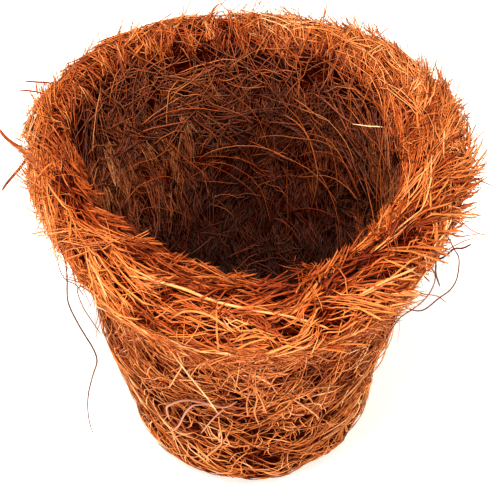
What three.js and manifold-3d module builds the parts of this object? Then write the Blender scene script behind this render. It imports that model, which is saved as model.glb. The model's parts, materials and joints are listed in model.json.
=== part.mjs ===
// A plant pot pressed from coconut coir: one felted wall, open at the top, with a broad shaggy brim.
// The wall is a tapering cup whose brim rolls outwards and droops a little. Bundles of fibre pressed
// into the felt stand up as crossing ridges, and tufts of cut fibre stick out all round the brim.
// Everything is one solid, in millimetres, +Z up, with its origin at the centre of the underside.
import * as THREE from "three";
import { mergeVertices } from "three/addons/utils/BufferGeometryUtils.js";
import Module from "manifold-3d";

// Outside of the cup
const HEIGHT = 97; // underside to the crest of the brim
const FOOT_RADIUS = 27; // the flat disc that it stands on
const FOOT_ROUND = 7; // height of the rounded lower edge
const WALL_FOOT_RADIUS = 32; // outer wall where the rounded edge ends
const WALL_TOP_RADIUS = 44.4; // outer wall where the brim starts to flare
const BRIM_START = 78; // height at which the brim starts to flare

// Brim
const BRIM_RADIUS = 53.2; // felt edge of the brim, without its tufts
const BRIM_EDGE_HEIGHT = 89.5; // height of that edge, which droops below the crest
const CREST_RADIUS = 46.5; // the highest ring of the brim
const MOUTH_RADIUS = 40.3; // inner lip
const MOUTH_HEIGHT = 91.5; // height of the inner lip

// Inside of the cup
const FLOOR_HEIGHT = 6; // top of the felt floor
const FLOOR_RADIUS = 21; // the flat middle of the floor
const INNER_FOOT_RADIUS = 28; // inner wall where the rounded corner ends
const INNER_FOOT_HEIGHT = 12;

// Out-of-round shape of the hand-trimmed brim: mean shift, then sine waves round the rim
const OUTER_WAVES = [
  { turns: 1, size: 1.3, peak: 92 },
  { turns: 2, size: 1.7, peak: 92 },
  { turns: 3, size: 1.5, peak: 29 },
  { turns: 5, size: 0.7, peak: 12 },
];
const MOUTH_WAVES = [
  { turns: 1, size: 3.4, peak: 144 },
  { turns: 2, size: 1.8, peak: 135 },
  { turns: 3, size: 1.4, peak: 37 },
  { turns: 5, size: 0.6, peak: 60 },
];
const CREST_WAVES = [
  { turns: 1, size: 1.4, peak: 95 },
  { turns: 2, size: 0.5, peak: 20 },
  { turns: 4, size: 0.6, peak: 50 },
];
const WAVES_START = 40; // height below which the cup is round

// Faces round the pot and along each stretch of its outline
const COLUMNS = 60;
const FOOT_ROWS = 3;
const WALL_ROWS = 21;
const BRIM_ROWS = 10;
const INNER_ROWS = 12;
const CORNER_ROWS = 3;

// Fibre bundles pressed into the felt
const BUNDLES = 150;
const BUNDLE_LENGTH = [26, 60];
const BUNDLE_HALF_WIDTH = [1.8, 2.8];
const BUNDLE_HEIGHT = [0.8, 1.7];
const BUNDLE_SLOPE = 0.75; // radians either side of level
const BUNDLE_BEND = 0.02; // most curvature, per millimetre
const LUMP_HEIGHT = 0.4;
const RELIEF_INSIDE = 0.6; // the inside was pressed on a former, so its relief is lower
const RELIEF_MARGIN = 6; // run over which the relief fades out towards the two flat discs

// Tufts of cut fibre round the brim, in rings from its underside over its crest to the mouth.
// "along" is the share of the brim's outline at which a tuft starts, "flare" how far its tip stands
// off the felt and "climb" how far the tip slides along the outline, in millimetres.
const TUFT_RINGS = [
  { count: 18, along: 0.2, length: 15, flare: 3.4, climb: 1 },
  { count: 24, along: 0.34, length: 15, flare: 4.2, climb: 0.5 },
  { count: 20, along: 0.5, length: 15, flare: 3.4, climb: -2.5 },
  { count: 14, along: 0.72, length: 13, flare: 2, climb: 1.5 },
];
const TUFT_STATIONS = [0, 0.4, 0.75]; // rings of a tuft, as shares of its length
const TUFT_HALF_WIDTH = 2;
const TUFT_HALF_DEPTH = 1.5;
const TUFT_SIDES = 4;
const TUFT_ROOT_DEPTH = 1.3; // how far a tuft starts inside the felt

const SEED = 20461;

/** A seeded generator of numbers from 0 to 1, so that every build is the same. */
function seededRandom(seed) {
  let state = seed >>> 0;
  return () => {
    state = (state + 0x6d2b79f5) >>> 0;
    let t = Math.imul(state ^ (state >>> 15), 1 | state);
    t = (t + Math.imul(t ^ (t >>> 7), 61 | t)) ^ t;
    return ((t ^ (t >>> 14)) >>> 0) / 4294967296;
  };
}

const random = seededRandom(SEED);
const between = ([low, high]) => low + (high - low) * random();
const smooth = (low, high, x) => THREE.MathUtils.smoothstep(x, low, high);

/** Sum of the sine waves round the rim, at one angle in radians. */
function waves(list, angle) {
  return list.reduce(
    (sum, { turns, size, peak }) =>
      sum + size * Math.cos(turns * (angle - THREE.MathUtils.degToRad(peak))),
    0,
  );
}

/** The outline of the pot from the middle of its underside, round the brim, to the middle of its floor. */
function outline() {
  const at = (radius, height) => new THREE.Vector2(radius, height);
  const foot = at(FOOT_RADIUS, 0);
  const wallFoot = at(WALL_FOOT_RADIUS, FOOT_ROUND);
  const wallTop = at(WALL_TOP_RADIUS, BRIM_START);
  const mouth = at(MOUTH_RADIUS, MOUTH_HEIGHT);
  const innerFoot = at(INNER_FOOT_RADIUS, INNER_FOOT_HEIGHT);
  const floorEdge = at(FLOOR_RADIUS, FLOOR_HEIGHT);
  const brim = new THREE.SplineCurve([
    wallTop,
    at(BRIM_RADIUS - 3.2, BRIM_EDGE_HEIGHT - 5),
    at(BRIM_RADIUS, BRIM_EDGE_HEIGHT),
    at((BRIM_RADIUS + CREST_RADIUS) / 2 + 0.9, HEIGHT - 1.9),
    at(CREST_RADIUS, HEIGHT),
    at((CREST_RADIUS + MOUTH_RADIUS) / 2 - 0.8, HEIGHT - 1),
    mouth,
  ]);
  const footEdge = new THREE.QuadraticBezierCurve(foot, at(WALL_FOOT_RADIUS - 1, 0), wallFoot);
  const corner = new THREE.QuadraticBezierCurve(innerFoot, at(INNER_FOOT_RADIUS - 1, FLOOR_HEIGHT), floorEdge);
  return [
    { curve: footEdge, rows: FOOT_ROWS, side: "outer" },
    { curve: new THREE.LineCurve(wallFoot, wallTop), rows: WALL_ROWS, side: "outer" },
    { curve: brim, rows: BRIM_ROWS, side: "brim" },
    { curve: new THREE.LineCurve(mouth, innerFoot), rows: INNER_ROWS, side: "inner" },
    { curve: corner, rows: CORNER_ROWS, side: "inner" },
  ];
}

/** Rows of the outline: place, outward normal, run along the outline, and share of the outer shape. */
function outlineRows() {
  const rows = [];
  let run = 0;
  for (const { curve, rows: count, side } of outline()) {
    for (let i = rows.length ? 1 : 0; i <= count; i++) {
      const t = i / count;
      const place = curve.getPoint(t);
      const tangent = curve.getTangent(t);
      const outerShare = { outer: 1, brim: 1 - smooth(0.45, 1, t), inner: 0 }[side];
      if (rows.length) run += place.distanceTo(rows[rows.length - 1].place);
      rows.push({ place, normal: new THREE.Vector2(tangent.y, -tangent.x), run, outerShare, side });
    }
  }
  return rows;
}

/** Bundles of fibre, each a bent ridge at its own place and slope on the outline's run. */
function scatterBundles(totalRun) {
  return Array.from({ length: BUNDLES }, () => ({
    angle: random() * 2 * Math.PI,
    run: random() * totalRun,
    slope: (2 * random() - 1) * BUNDLE_SLOPE,
    bend: (2 * random() - 1) * BUNDLE_BEND,
    halfLength: between(BUNDLE_LENGTH) / 2,
    halfWidth: between(BUNDLE_HALF_WIDTH),
    height: between(BUNDLE_HEIGHT),
  }));
}

/** Height of the felt's relief at one place: the highest bundle there, on slow lumps. */
function relief(bundles, angle, run, radius) {
  let ridge = 0;
  for (const b of bundles) {
    const turn = Math.atan2(Math.sin(angle - b.angle), Math.cos(angle - b.angle));
    const level = turn * radius;
    const up = run - b.run;
    const along = level * Math.cos(b.slope) + up * Math.sin(b.slope);
    if (Math.abs(along) > b.halfLength) continue;
    const off = up * Math.cos(b.slope) - level * Math.sin(b.slope) - (b.bend * along * along) / 2;
    const fade = 1 - Math.pow(Math.abs(along) / b.halfLength, 4);
    ridge = Math.max(ridge, b.height * fade * Math.exp(-Math.pow(off / b.halfWidth, 2)));
  }
  const lumps = Math.sin(3 * angle + run / 11) + Math.sin(5 * angle - run / 7) + Math.sin(8 * angle + run / 5);
  return ridge + (LUMP_HEIGHT * lumps) / 3;
}

/** A place on the pot without its relief, at an outline row and an angle. */
function surfacePoint({ place, outerShare }, angle) {
  const share = smooth(WAVES_START, HEIGHT, place.y);
  const shift = outerShare * waves(OUTER_WAVES, angle) + (1 - outerShare) * waves(MOUTH_WAVES, angle);
  const radius = place.x + share * shift;
  const height = place.y + share * waves(CREST_WAVES, angle);
  return new THREE.Vector3(radius * Math.cos(angle), radius * Math.sin(angle), height);
}

/** The direction that faces away from the felt, at an outline row and an angle. */
function surfaceNormal({ normal }, angle) {
  return new THREE.Vector3(normal.x * Math.cos(angle), normal.x * Math.sin(angle), normal.y).normalize();
}

/** The felted cup as a closed geometry: rings of vertices between two middle points. */
function cupGeometry(rows, bundles) {
  const positions = [0, 0, 0];
  const lastRun = rows[rows.length - 1].run;
  for (const row of rows) {
    const margins = smooth(0, RELIEF_MARGIN, row.run) * smooth(0, RELIEF_MARGIN, lastRun - row.run);
    const pressed = margins * THREE.MathUtils.lerp(RELIEF_INSIDE, 1, row.outerShare);
    for (let column = 0; column < COLUMNS; column++) {
      const angle = (2 * Math.PI * column) / COLUMNS;
      const raised = pressed * relief(bundles, angle, row.run, row.place.x);
      const point = surfacePoint(row, angle).addScaledVector(surfaceNormal(row, angle), raised);
      positions.push(...point.toArray());
    }
  }
  positions.push(0, 0, FLOOR_HEIGHT);
  const lastMiddle = rows.length * COLUMNS + 1;
  const vertex = (row, column) => 1 + row * COLUMNS + (column % COLUMNS);
  const indices = [];
  for (let column = 0; column < COLUMNS; column++) {
    indices.push(0, vertex(0, column + 1), vertex(0, column));
    for (let row = 0; row < rows.length - 1; row++) {
      const [a, b] = [vertex(row, column), vertex(row, column + 1)];
      const [c, d] = [vertex(row + 1, column), vertex(row + 1, column + 1)];
      indices.push(a, b, d, a, d, c);
    }
    indices.push(lastMiddle, vertex(rows.length - 1, column), vertex(rows.length - 1, column + 1));
  }
  const geometry = new THREE.BufferGeometry();
  geometry.setAttribute("position", new THREE.Float32BufferAttribute(positions, 3));
  geometry.setIndex(indices);
  return geometry;
}

/** A tuft along its centre line: rings of a few sides that taper to a point, closed by a flat root. */
function tuftGeometry(centres, tip, normal) {
  const positions = [];
  centres.forEach((centre, i) => {
    const next = centres[i + 1] ?? tip;
    const side = new THREE.Vector3().crossVectors(normal, next.clone().sub(centre)).normalize();
    const taper = 1 - 0.55 * TUFT_STATIONS[i];
    for (let corner = 0; corner < TUFT_SIDES; corner++) {
      const angle = (2 * Math.PI * corner) / TUFT_SIDES;
      const point = centre.clone().addScaledVector(normal, taper * TUFT_HALF_DEPTH * Math.cos(angle));
      positions.push(...point.addScaledVector(side, -taper * TUFT_HALF_WIDTH * Math.sin(angle)).toArray());
    }
  });
  positions.push(...tip.toArray());
  const vertex = (ring, corner) => ring * TUFT_SIDES + (corner % TUFT_SIDES);
  const lastRing = centres.length - 1;
  const indices = [];
  for (let corner = 0; corner < TUFT_SIDES; corner++) {
    for (let ring = 0; ring < lastRing; ring++) {
      const [a, b] = [vertex(ring, corner), vertex(ring, corner + 1)];
      const [c, d] = [vertex(ring + 1, corner), vertex(ring + 1, corner + 1)];
      indices.push(a, b, d, a, d, c);
    }
    indices.push(vertex(lastRing, corner), vertex(lastRing, corner + 1), centres.length * TUFT_SIDES);
    if (corner > 0 && corner < TUFT_SIDES - 1) indices.push(0, corner + 1, corner);
  }
  const geometry = new THREE.BufferGeometry();
  geometry.setAttribute("position", new THREE.Float32BufferAttribute(positions, 3));
  geometry.setIndex(indices);
  return geometry;
}

/** Every tuft of the brim, each lying along the brim and lifting off it towards its tip. */
function tuftGeometries(rows) {
  const brimRows = rows.filter(({ side }) => side === "brim");
  return TUFT_RINGS.flatMap(({ count, along, length, flare, climb }) =>
    Array.from({ length: count }, (_, i) => {
      const start = (2 * Math.PI * (i + 0.8 * random())) / count;
      const row = brimRows[Math.round((along + 0.08 * (random() - 0.5)) * (brimRows.length - 1))];
      const reach = length * (0.75 + 0.5 * random());
      const stand = flare * (0.5 + random());
      const slide = climb + 3 * (random() - 0.5);
      const placeAt = (share) => {
        const angle = start + (share * reach) / row.place.x;
        const normal = surfaceNormal(row, angle);
        const up = new THREE.Vector3(-normal.z * Math.cos(angle), -normal.z * Math.sin(angle), row.normal.x);
        const off = -TUFT_ROOT_DEPTH + (TUFT_ROOT_DEPTH + stand) * Math.pow(share, 1.7);
        return surfacePoint(row, angle).addScaledVector(normal, off).addScaledVector(up, slide * share);
      };
      const middle = start + (0.5 * reach) / row.place.x;
      return tuftGeometry(TUFT_STATIONS.map(placeAt), placeAt(1), surfaceNormal(row, middle));
    }),
  );
}

const wasm = await Module();
wasm.setup();

/** A closed geometry as a solid that can be joined to others. */
function solidOf(geometry) {
  const merged = mergeVertices(geometry, 1e-4);
  return new wasm.Manifold(
    new wasm.Mesh({
      numProp: 3,
      vertProperties: new Float32Array(merged.attributes.position.array),
      triVerts: new Uint32Array(merged.index.array),
    }),
  );
}

/** A joined solid as geometry again. */
function geometryOf(solid) {
  const { vertProperties, triVerts } = solid.getMesh();
  const geometry = new THREE.BufferGeometry();
  geometry.setAttribute("position", new THREE.BufferAttribute(vertProperties, 3));
  geometry.setIndex(new THREE.BufferAttribute(triVerts, 1));
  geometry.computeVertexNormals();
  return geometry;
}

/** The outermost shell of a solid, which fills the pockets sealed in between its tufts. */
function withoutPockets(solid) {
  return solid.decompose().reduce((best, shell) => (shell.volume() > best.volume() ? shell : best));
}

const rows = outlineRows();
const bundles = scatterBundles(rows[rows.length - 1].run);
const pot = tuftGeometries(rows).reduce(
  (joined, tuft) => joined.add(solidOf(tuft)),
  solidOf(cupGeometry(rows, bundles)),
);

const coir = new THREE.MeshStandardMaterial({ color: 0xa85b32, roughness: 0.85, metalness: 0 });
const potMesh = new THREE.Mesh(geometryOf(withoutPockets(pot)), coir);
potMesh.name = "coir_pot";

const coirPot = new THREE.Group();
coirPot.add(potMesh);

export default coirPot;
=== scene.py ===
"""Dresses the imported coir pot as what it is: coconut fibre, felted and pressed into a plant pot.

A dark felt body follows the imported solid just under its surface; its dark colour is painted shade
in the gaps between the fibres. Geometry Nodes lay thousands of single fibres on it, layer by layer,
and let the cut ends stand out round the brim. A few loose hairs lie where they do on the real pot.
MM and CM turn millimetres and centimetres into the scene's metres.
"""

from __future__ import annotations

import json
import logging
import math
from collections.abc import Sequence
from dataclasses import dataclass, fields
from enum import Enum

import bpy
import numpy as np
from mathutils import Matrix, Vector
from mathutils.bvhtree import BVHTree

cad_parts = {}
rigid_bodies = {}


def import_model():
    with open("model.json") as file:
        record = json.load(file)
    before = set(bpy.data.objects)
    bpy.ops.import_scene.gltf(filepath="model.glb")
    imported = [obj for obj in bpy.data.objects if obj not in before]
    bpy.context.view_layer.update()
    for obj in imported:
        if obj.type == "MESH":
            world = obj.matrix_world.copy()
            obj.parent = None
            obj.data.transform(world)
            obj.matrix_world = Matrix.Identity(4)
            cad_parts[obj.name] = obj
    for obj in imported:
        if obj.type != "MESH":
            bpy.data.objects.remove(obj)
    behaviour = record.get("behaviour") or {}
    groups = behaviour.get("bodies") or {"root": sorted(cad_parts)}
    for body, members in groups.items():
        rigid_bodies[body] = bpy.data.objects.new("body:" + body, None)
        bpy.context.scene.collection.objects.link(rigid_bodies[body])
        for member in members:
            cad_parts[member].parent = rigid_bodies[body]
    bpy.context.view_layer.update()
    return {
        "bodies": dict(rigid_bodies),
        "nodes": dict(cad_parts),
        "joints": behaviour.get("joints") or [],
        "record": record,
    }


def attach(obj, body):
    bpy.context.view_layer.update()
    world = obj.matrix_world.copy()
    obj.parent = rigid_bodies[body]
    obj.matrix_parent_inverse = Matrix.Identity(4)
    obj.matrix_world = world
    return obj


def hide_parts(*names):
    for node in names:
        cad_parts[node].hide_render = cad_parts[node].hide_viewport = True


MM = 0.001
CM = 0.01
NODE = "coir_pot"
UNWRAP = "OFBake"
FACING = "facing"
LOG = logging.getLogger("coir_pot")

# A fibre's tone is stored as its place across the unwrapped square, in a strip of its own.
TONE_SPAN = 0.97
STRIP = 0.01  # how wide that strip is, and how far it stays off the square's edge

Value = "bpy.types.NodeSocket | float | int | tuple | str"
Vector3 = tuple[float, float, float]
Span = tuple[float, float]
Stop = tuple[str, float]  # one of the felt's runs, and how many millimetres past it


class Ground(Enum):
    """What a layer of fibres follows."""

    WRAPPED = "the unwrapped felt, from the foot over the brim to the floor"
    LEVEL = "a flat disc, such as the floor or the underside"


def smooth_step(low: float, high: float, x: np.ndarray) -> np.ndarray:
    """Eases from 0 at low to 1 at high.

    Args:
        low: Where the step starts.
        high: Where it ends.
        x: The values to ease.

    Returns:
        The eased values, as an array of x's shape.
    """
    t = np.clip((x - low) / (high - low), 0, 1)
    return t * t * (3 - 2 * t)


def smooth_line(points: Sequence[Sequence[float]], steps: int) -> np.ndarray:
    """Draws a smooth curve through points in two or three dimensions.

    Args:
        points: The points it goes through.
        steps: How many places it gets from each point to the next.

    Returns:
        The places along it, first and last point included.
    """
    knots = np.array([points[0], *points, points[-1]], float)
    t = np.linspace(0, 1, steps, endpoint=False)[:, None]
    spans = [
        0.5 * (2 * b + (c - a) * t + (2 * a - 5 * b + 4 * c - d) * t**2 + (3 * b - a - 3 * c + d) * t**3)
        for a, b, c, d in zip(knots, knots[1:], knots[2:], knots[3:])
    ]
    return np.vstack([*spans, knots[-1:]])


def shades(*stops: tuple[float, str]) -> list[tuple[float, tuple[float, ...]]]:
    """Turns colour stops written as hexadecimal screen colours into linear ones.

    Args:
        stops: Pairs of a place from 0 to 1 and a colour such as "b45a2c".

    Returns:
        The same stops with linear colours and an alpha of 1.
    """
    made = []
    for place, text in stops:
        screen = [int(text[i : i + 2], 16) / 255 for i in (0, 2, 4)]
        linear = [c / 12.92 if c <= 0.04045 else ((c + 0.055) / 1.055) ** 2.4 for c in screen]
        made.append((place, (*linear, 1.0)))
    return made


def placed(name: str, data: bpy.types.ID) -> bpy.types.Object:
    """Makes an object of a mesh, lamp or camera, puts it in the scene and returns it."""
    new = bpy.data.objects.new(name, data)
    bpy.context.scene.collection.objects.link(new)
    return new


def unwrapped_mesh(name: str, points: list, faces: list, corners: list) -> bpy.types.Mesh:
    """Makes a smooth mesh with its unwrapped places.

    Args:
        name: The mesh's name.
        points: Its points, in metres.
        faces: The numbers of each face's points.
        corners: The unwrapped place of each corner of each face.

    Returns:
        The mesh.
    """
    mesh = bpy.data.meshes.new(name)
    mesh.from_pydata(points, [], faces)
    mesh.uv_layers.new(name=UNWRAP).data.foreach_set("uv", np.array(corners, np.float32).ravel())
    mesh.shade_smooth()
    return mesh


class TreeWriter:
    """Adds nodes to a node tree and links them, so that a tree reads like a formula."""

    def __init__(self, tree: bpy.types.NodeTree) -> None:
        """Starts writing into a tree.

        Args:
            tree: The node tree that the nodes go into.
        """
        self.tree = tree

    def put(self, socket: bpy.types.NodeSocket, value: Value) -> None:
        """Links a socket to another one, or sets its own value.

        Args:
            socket: The input socket.
            value: An output socket, or a plain value.
        """
        if isinstance(value, bpy.types.NodeSocket):
            self.tree.links.new(value, socket)
        else:
            socket.default_value = value

    def node(
        self, kind: str, inputs: dict[str | int, Value] | None = None, **settings: object
    ) -> bpy.types.Node:
        """Adds one node.

        Args:
            kind: The node's type name.
            inputs: Values or sockets for its inputs, by identifier or by place.
            settings: The node's own properties, set before its inputs.

        Returns:
            The new node.
        """
        node = self.tree.nodes.new(kind)
        for name, value in settings.items():
            setattr(node, name, value)
        for key, value in (inputs or {}).items():
            found = node.inputs[key] if isinstance(key, int) else self.socket(node, key)
            self.put(found, value)
        return node

    @staticmethod
    def socket(node: bpy.types.Node, key: str) -> bpy.types.NodeSocket:
        """Finds a shown input socket by its identifier, or else by its name."""
        return next((s for s in node.inputs if s.identifier == key and s.enabled), None) or node.inputs[key]

    def math(self, operation: str, *values: Value) -> bpy.types.NodeSocket:
        """Adds a Math node and returns its result."""
        return self.node("ShaderNodeMath", dict(enumerate(values)), operation=operation).outputs[0]

    def plus(self, first: Value, second: Value) -> bpy.types.NodeSocket:
        """Adds two numbers."""
        return self.math("ADD", first, second)

    def minus(self, first: Value, second: Value) -> bpy.types.NodeSocket:
        """Takes the second number from the first."""
        return self.math("SUBTRACT", first, second)

    def times(self, first: Value, second: Value) -> bpy.types.NodeSocket:
        """Multiplies two numbers."""
        return self.math("MULTIPLY", first, second)

    def over(self, first: Value, second: Value) -> bpy.types.NodeSocket:
        """Divides the first number by the second."""
        return self.math("DIVIDE", first, second)

    def times_plus(self, first: Value, second: Value, added: Value) -> bpy.types.NodeSocket:
        """Multiplies two numbers and adds a third."""
        return self.math("MULTIPLY_ADD", first, second, added)

    def vector(self, operation: str, *values: Value) -> bpy.types.NodeSocket:
        """Adds a Vector Math node and returns its result, which is a number for a length."""
        node = self.node("ShaderNodeVectorMath", operation=operation)
        for socket, value in zip((s for s in node.inputs if s.enabled), values):
            self.put(socket, value)
        return next(s for s in node.outputs if s.enabled)

    def combine(self, x: Value, y: Value, z: Value) -> bpy.types.NodeSocket:
        """Adds a Combine XYZ node and returns its vector."""
        return self.node("ShaderNodeCombineXYZ", {0: x, 1: y, 2: z}).outputs[0]

    def separate(self, value: Value) -> list[bpy.types.NodeSocket]:
        """Adds a Separate XYZ node and returns its three numbers."""
        return list(self.node("ShaderNodeSeparateXYZ", {0: value}).outputs)

    def mix(self, first: Value, second: Value, share: Value) -> bpy.types.NodeSocket:
        """Adds a Mix node that goes from the first number to the second and returns its result."""
        inputs = {"Factor_Float": share, "A_Float": first, "B_Float": second}
        return self.node("ShaderNodeMix", inputs, data_type="FLOAT").outputs[0]

    def clamp(self, value: Value) -> bpy.types.NodeSocket:
        """Adds a Clamp node that keeps a number from 0 to 1."""
        return self.node("ShaderNodeClamp", {0: value}).outputs[0]

    def random(self, low: Value, high: Value, **more: Value) -> bpy.types.NodeSocket:
        """Adds a Random Value node and returns its number from low to high."""
        ends = {"Min_001": low, "Max_001": high} | more
        return self.node("FunctionNodeRandomValue", ends, data_type="FLOAT").outputs[1]

    def random_vector(self, low: Vector3, high: Vector3, seed: int) -> bpy.types.NodeSocket:
        """Adds a Random Value node and returns its vector from low to high."""
        ends = {"Min": low, "Max": high, "Seed": seed}
        return self.node("FunctionNodeRandomValue", ends, data_type="FLOAT_VECTOR").outputs[0]

    def attribute(self, name: str, kind: str = "FLOAT_VECTOR") -> bpy.types.NodeSocket:
        """Adds a Named Attribute node and returns the attribute."""
        return self.node("GeometryNodeInputNamedAttribute", {"Name": name}, data_type=kind).outputs[0]

    def scaled(self, vector: Value, factor: Value) -> bpy.types.NodeSocket:
        """Adds a Vector Math node that makes a vector longer or shorter."""
        return self.node("ShaderNodeVectorMath", {0: vector, 3: factor}, operation="SCALE").outputs[0]

    def noise(self, place: Value, scale: Value, detail: float = 1.0) -> bpy.types.NodeSocket:
        """Adds a Noise Texture and returns its value from 0 to 1."""
        inputs = {"Vector": place, "Scale": scale, "Detail": detail}
        return self.node("ShaderNodeTexNoise", inputs).outputs[0]


@dataclass(frozen=True)
class Wave:
    """One sine wave round the rim: its turns, its size in millimetres and its peak in degrees."""

    turns: int
    size: float
    peak: float

    def at(self, angles: np.ndarray) -> np.ndarray:
        """The wave's height in metres at angles in radians."""
        return self.size * MM * np.cos(self.turns * (angles - math.radians(self.peak)))


@dataclass
class FeltBody:
    """The pressed cup under its fibres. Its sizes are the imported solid's own, in metres.

    A run is a way along the outline, from the middle of the underside round the foot, up the wall, over
    the brim and down inside to the middle of the floor. RUNS names where its stretches begin: underside,
    foot, wall, brim, inner wall, the corner below it and floor. The last name is its end.
    """

    RUNS = ("start", "foot", "wall", "brim", "mouth", "corner", "floor", "end")

    foot_radius: float = 27 * MM
    foot_round: float = 7 * MM
    wall_foot_radius: float = 32 * MM
    wall_top_radius: float = 44.4 * MM
    brim_start: float = 78 * MM
    brim_radius: float = 53.2 * MM
    brim_edge_height: float = 89.5 * MM
    crest_radius: float = 46.5 * MM
    height: float = 97 * MM
    mouth_radius: float = 40.3 * MM
    mouth_height: float = 91.5 * MM
    inner_foot_radius: float = 28 * MM
    inner_foot_height: float = 12 * MM
    floor_radius: float = 21 * MM
    floor_height: float = 6 * MM
    outer_waves: tuple[Wave, ...] = (
        Wave(1, 1.3, 92), Wave(2, 1.7, 92), Wave(3, 1.5, 29), Wave(5, 0.7, 12),
    )
    mouth_waves: tuple[Wave, ...] = (
        Wave(1, 3.4, 144), Wave(2, 1.8, 135), Wave(3, 1.4, 37), Wave(5, 0.6, 60),
    )
    crest_waves: tuple[Wave, ...] = (Wave(1, 1.4, 95), Wave(2, 0.5, 20), Wave(4, 0.6, 50))
    waves_start: float = 40 * MM
    columns: int = 180
    row_step: float = 1.8 * MM
    brim_steps: int = 8  # places between two of the brim's points
    mouth_share: float = 0.45  # how far over the brim its outer waves start to give way to the mouth's
    smoothings: int = 2  # how often the relief is evened out
    brim_fade: float = 0.4  # share of the brim's width over which its inset sets in
    fade: float = 0.7  # where the foot's and the wall's insets start to give way, as a share of their reach
    inset: float = 1.1 * MM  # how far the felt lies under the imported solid, which its fibres fill
    foot_inset: float = 0.3 * MM  # the same round the tightly wrapped foot
    foot_share: float = 0.2  # the part of the outline, from its start, that this inset holds for
    brim_inset: float = 0.8 * MM  # how much farther it lies under the shaggy brim
    under_edge: Span = (3.2 * MM, 5 * MM)  # inwards and down from the brim's edge
    over_edge: Span = (0.9 * MM, 1.9 * MM)  # out from between edge and crest, down from the crest
    over_lip: Span = (0.8 * MM, MM)  # in from between crest and lip, down from the crest
    hollows: tuple[Vector3, ...] = (
        (52, 34, 1.3 * MM),
        (220, 22, 0.6 * MM),
        (322, 18, 1.2 * MM),
        (178, 22, -1.4 * MM),
    )  # where round the brim the felt lies deeper, how wide that is in degrees, and how much deeper
    wall_hollows: tuple[Vector3, ...] = ((0, 28, 1.3 * MM),)  # the same for the wall
    reach: float = 6 * MM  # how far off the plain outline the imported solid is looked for
    highest_relief: float = 2 * MM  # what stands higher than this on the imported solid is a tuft

    def corner_lines(self) -> list[np.ndarray]:
        """The outline's stretches: underside, foot, wall, brim, inner wall, corner and floor.

        Returns:
            One array of radius and height for each stretch.
        """
        middle = (self.brim_radius + self.crest_radius) / 2
        lip = (self.crest_radius + self.mouth_radius) / 2
        foot_edge = [
            (self.foot_radius, 0),
            (self.wall_foot_radius - MM, 0),
            (self.wall_foot_radius, self.foot_round),
        ]
        brim = [
            (self.wall_top_radius, self.brim_start),
            (self.brim_radius - self.under_edge[0], self.brim_edge_height - self.under_edge[1]),
            (self.brim_radius, self.brim_edge_height),
            (middle + self.over_edge[0], self.height - self.over_edge[1]),
            (self.crest_radius, self.height),
            (lip - self.over_lip[0], self.height - self.over_lip[1]),
            (self.mouth_radius, self.mouth_height),
        ]
        corner = [
            (self.inner_foot_radius, self.inner_foot_height),
            (self.inner_foot_radius - MM, self.floor_height),
            (self.floor_radius, self.floor_height),
        ]
        return [
            np.array([(0, 0), foot_edge[0]], float),
            self.arc(foot_edge),
            np.array([foot_edge[-1], brim[0]], float),
            smooth_line(brim, self.brim_steps),
            np.array([brim[-1], corner[0]], float),
            self.arc(corner),
            np.array([corner[-1], (0, self.floor_height)], float),
        ]

    @staticmethod
    def arc(points: list[tuple[float, float]], steps: int = 12) -> np.ndarray:
        """A quadratic curve from the first point to the third, pulled towards the second."""
        a, b, c = np.array(points, float)
        t = np.linspace(0, 1, steps)[:, None]
        return (1 - t) ** 2 * a + 2 * t * (1 - t) * b + t**2 * c

    def __post_init__(self) -> None:
        """Works out the outline's rows from the sizes."""
        lines = self.corner_lines()
        stretches = [np.linalg.norm(np.diff(line, axis=0), axis=1).sum() for line in lines]
        ends = np.cumsum(stretches)
        self.run = float(ends[-1])
        self.runs = dict(zip(self.RUNS, map(float, (0, *ends))))
        path = np.vstack([lines[0], *(line[1:] for line in lines[1:])])
        runs = np.concatenate([[0], np.cumsum(np.linalg.norm(np.diff(path, axis=0), axis=1))])
        rows = int(self.run / self.row_step)
        self.rows = np.linspace(0, self.run, rows + 2)[1:-1]
        self.outline = np.column_stack([np.interp(self.rows, runs, path[:, i]) for i in (0, 1)])
        ahead, behind = (
            np.column_stack([np.interp(self.rows + d, runs, path[:, i]) for i in (0, 1)]) for d in (MM, -MM)
        )
        tangent = ahead - behind
        tangent /= np.linalg.norm(tangent, axis=1, keepdims=True)
        self.normals = np.column_stack([tangent[:, 1], -tangent[:, 0]])

    def plain_grid(self) -> tuple[np.ndarray, np.ndarray]:
        """Places and normals of the smooth cup, before its relief.

        Returns:
            Two arrays of rows, columns and three coordinates.
        """
        angles = np.arange(self.columns) * math.tau / self.columns
        share = smooth_step(self.waves_start, self.height, self.outline[:, 1])[:, None]
        brim, mouth = self.runs["brim"], self.runs["mouth"]
        over_brim = (self.rows - brim) / (mouth - brim)
        past = smooth_step(self.mouth_share, 1, over_brim)[:, None]
        outer, inner, crest = (
            sum(w.at(angles) for w in waves)[None]
            for waves in (self.outer_waves, self.mouth_waves, self.crest_waves)
        )
        radius = self.outline[:, :1] + share * ((1 - past) * outer + past * inner)
        height = self.outline[:, 1:] + share * crest
        cos, sin = np.cos(angles)[None], np.sin(angles)[None]
        places = np.stack([radius * cos, radius * sin, height + 0 * cos], axis=-1)
        sideways, upwards = self.normals[:, :1], self.normals[:, 1:]
        normals = np.stack([sideways * cos, sideways * sin, upwards + 0 * cos], axis=-1)
        return places, normals

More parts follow.
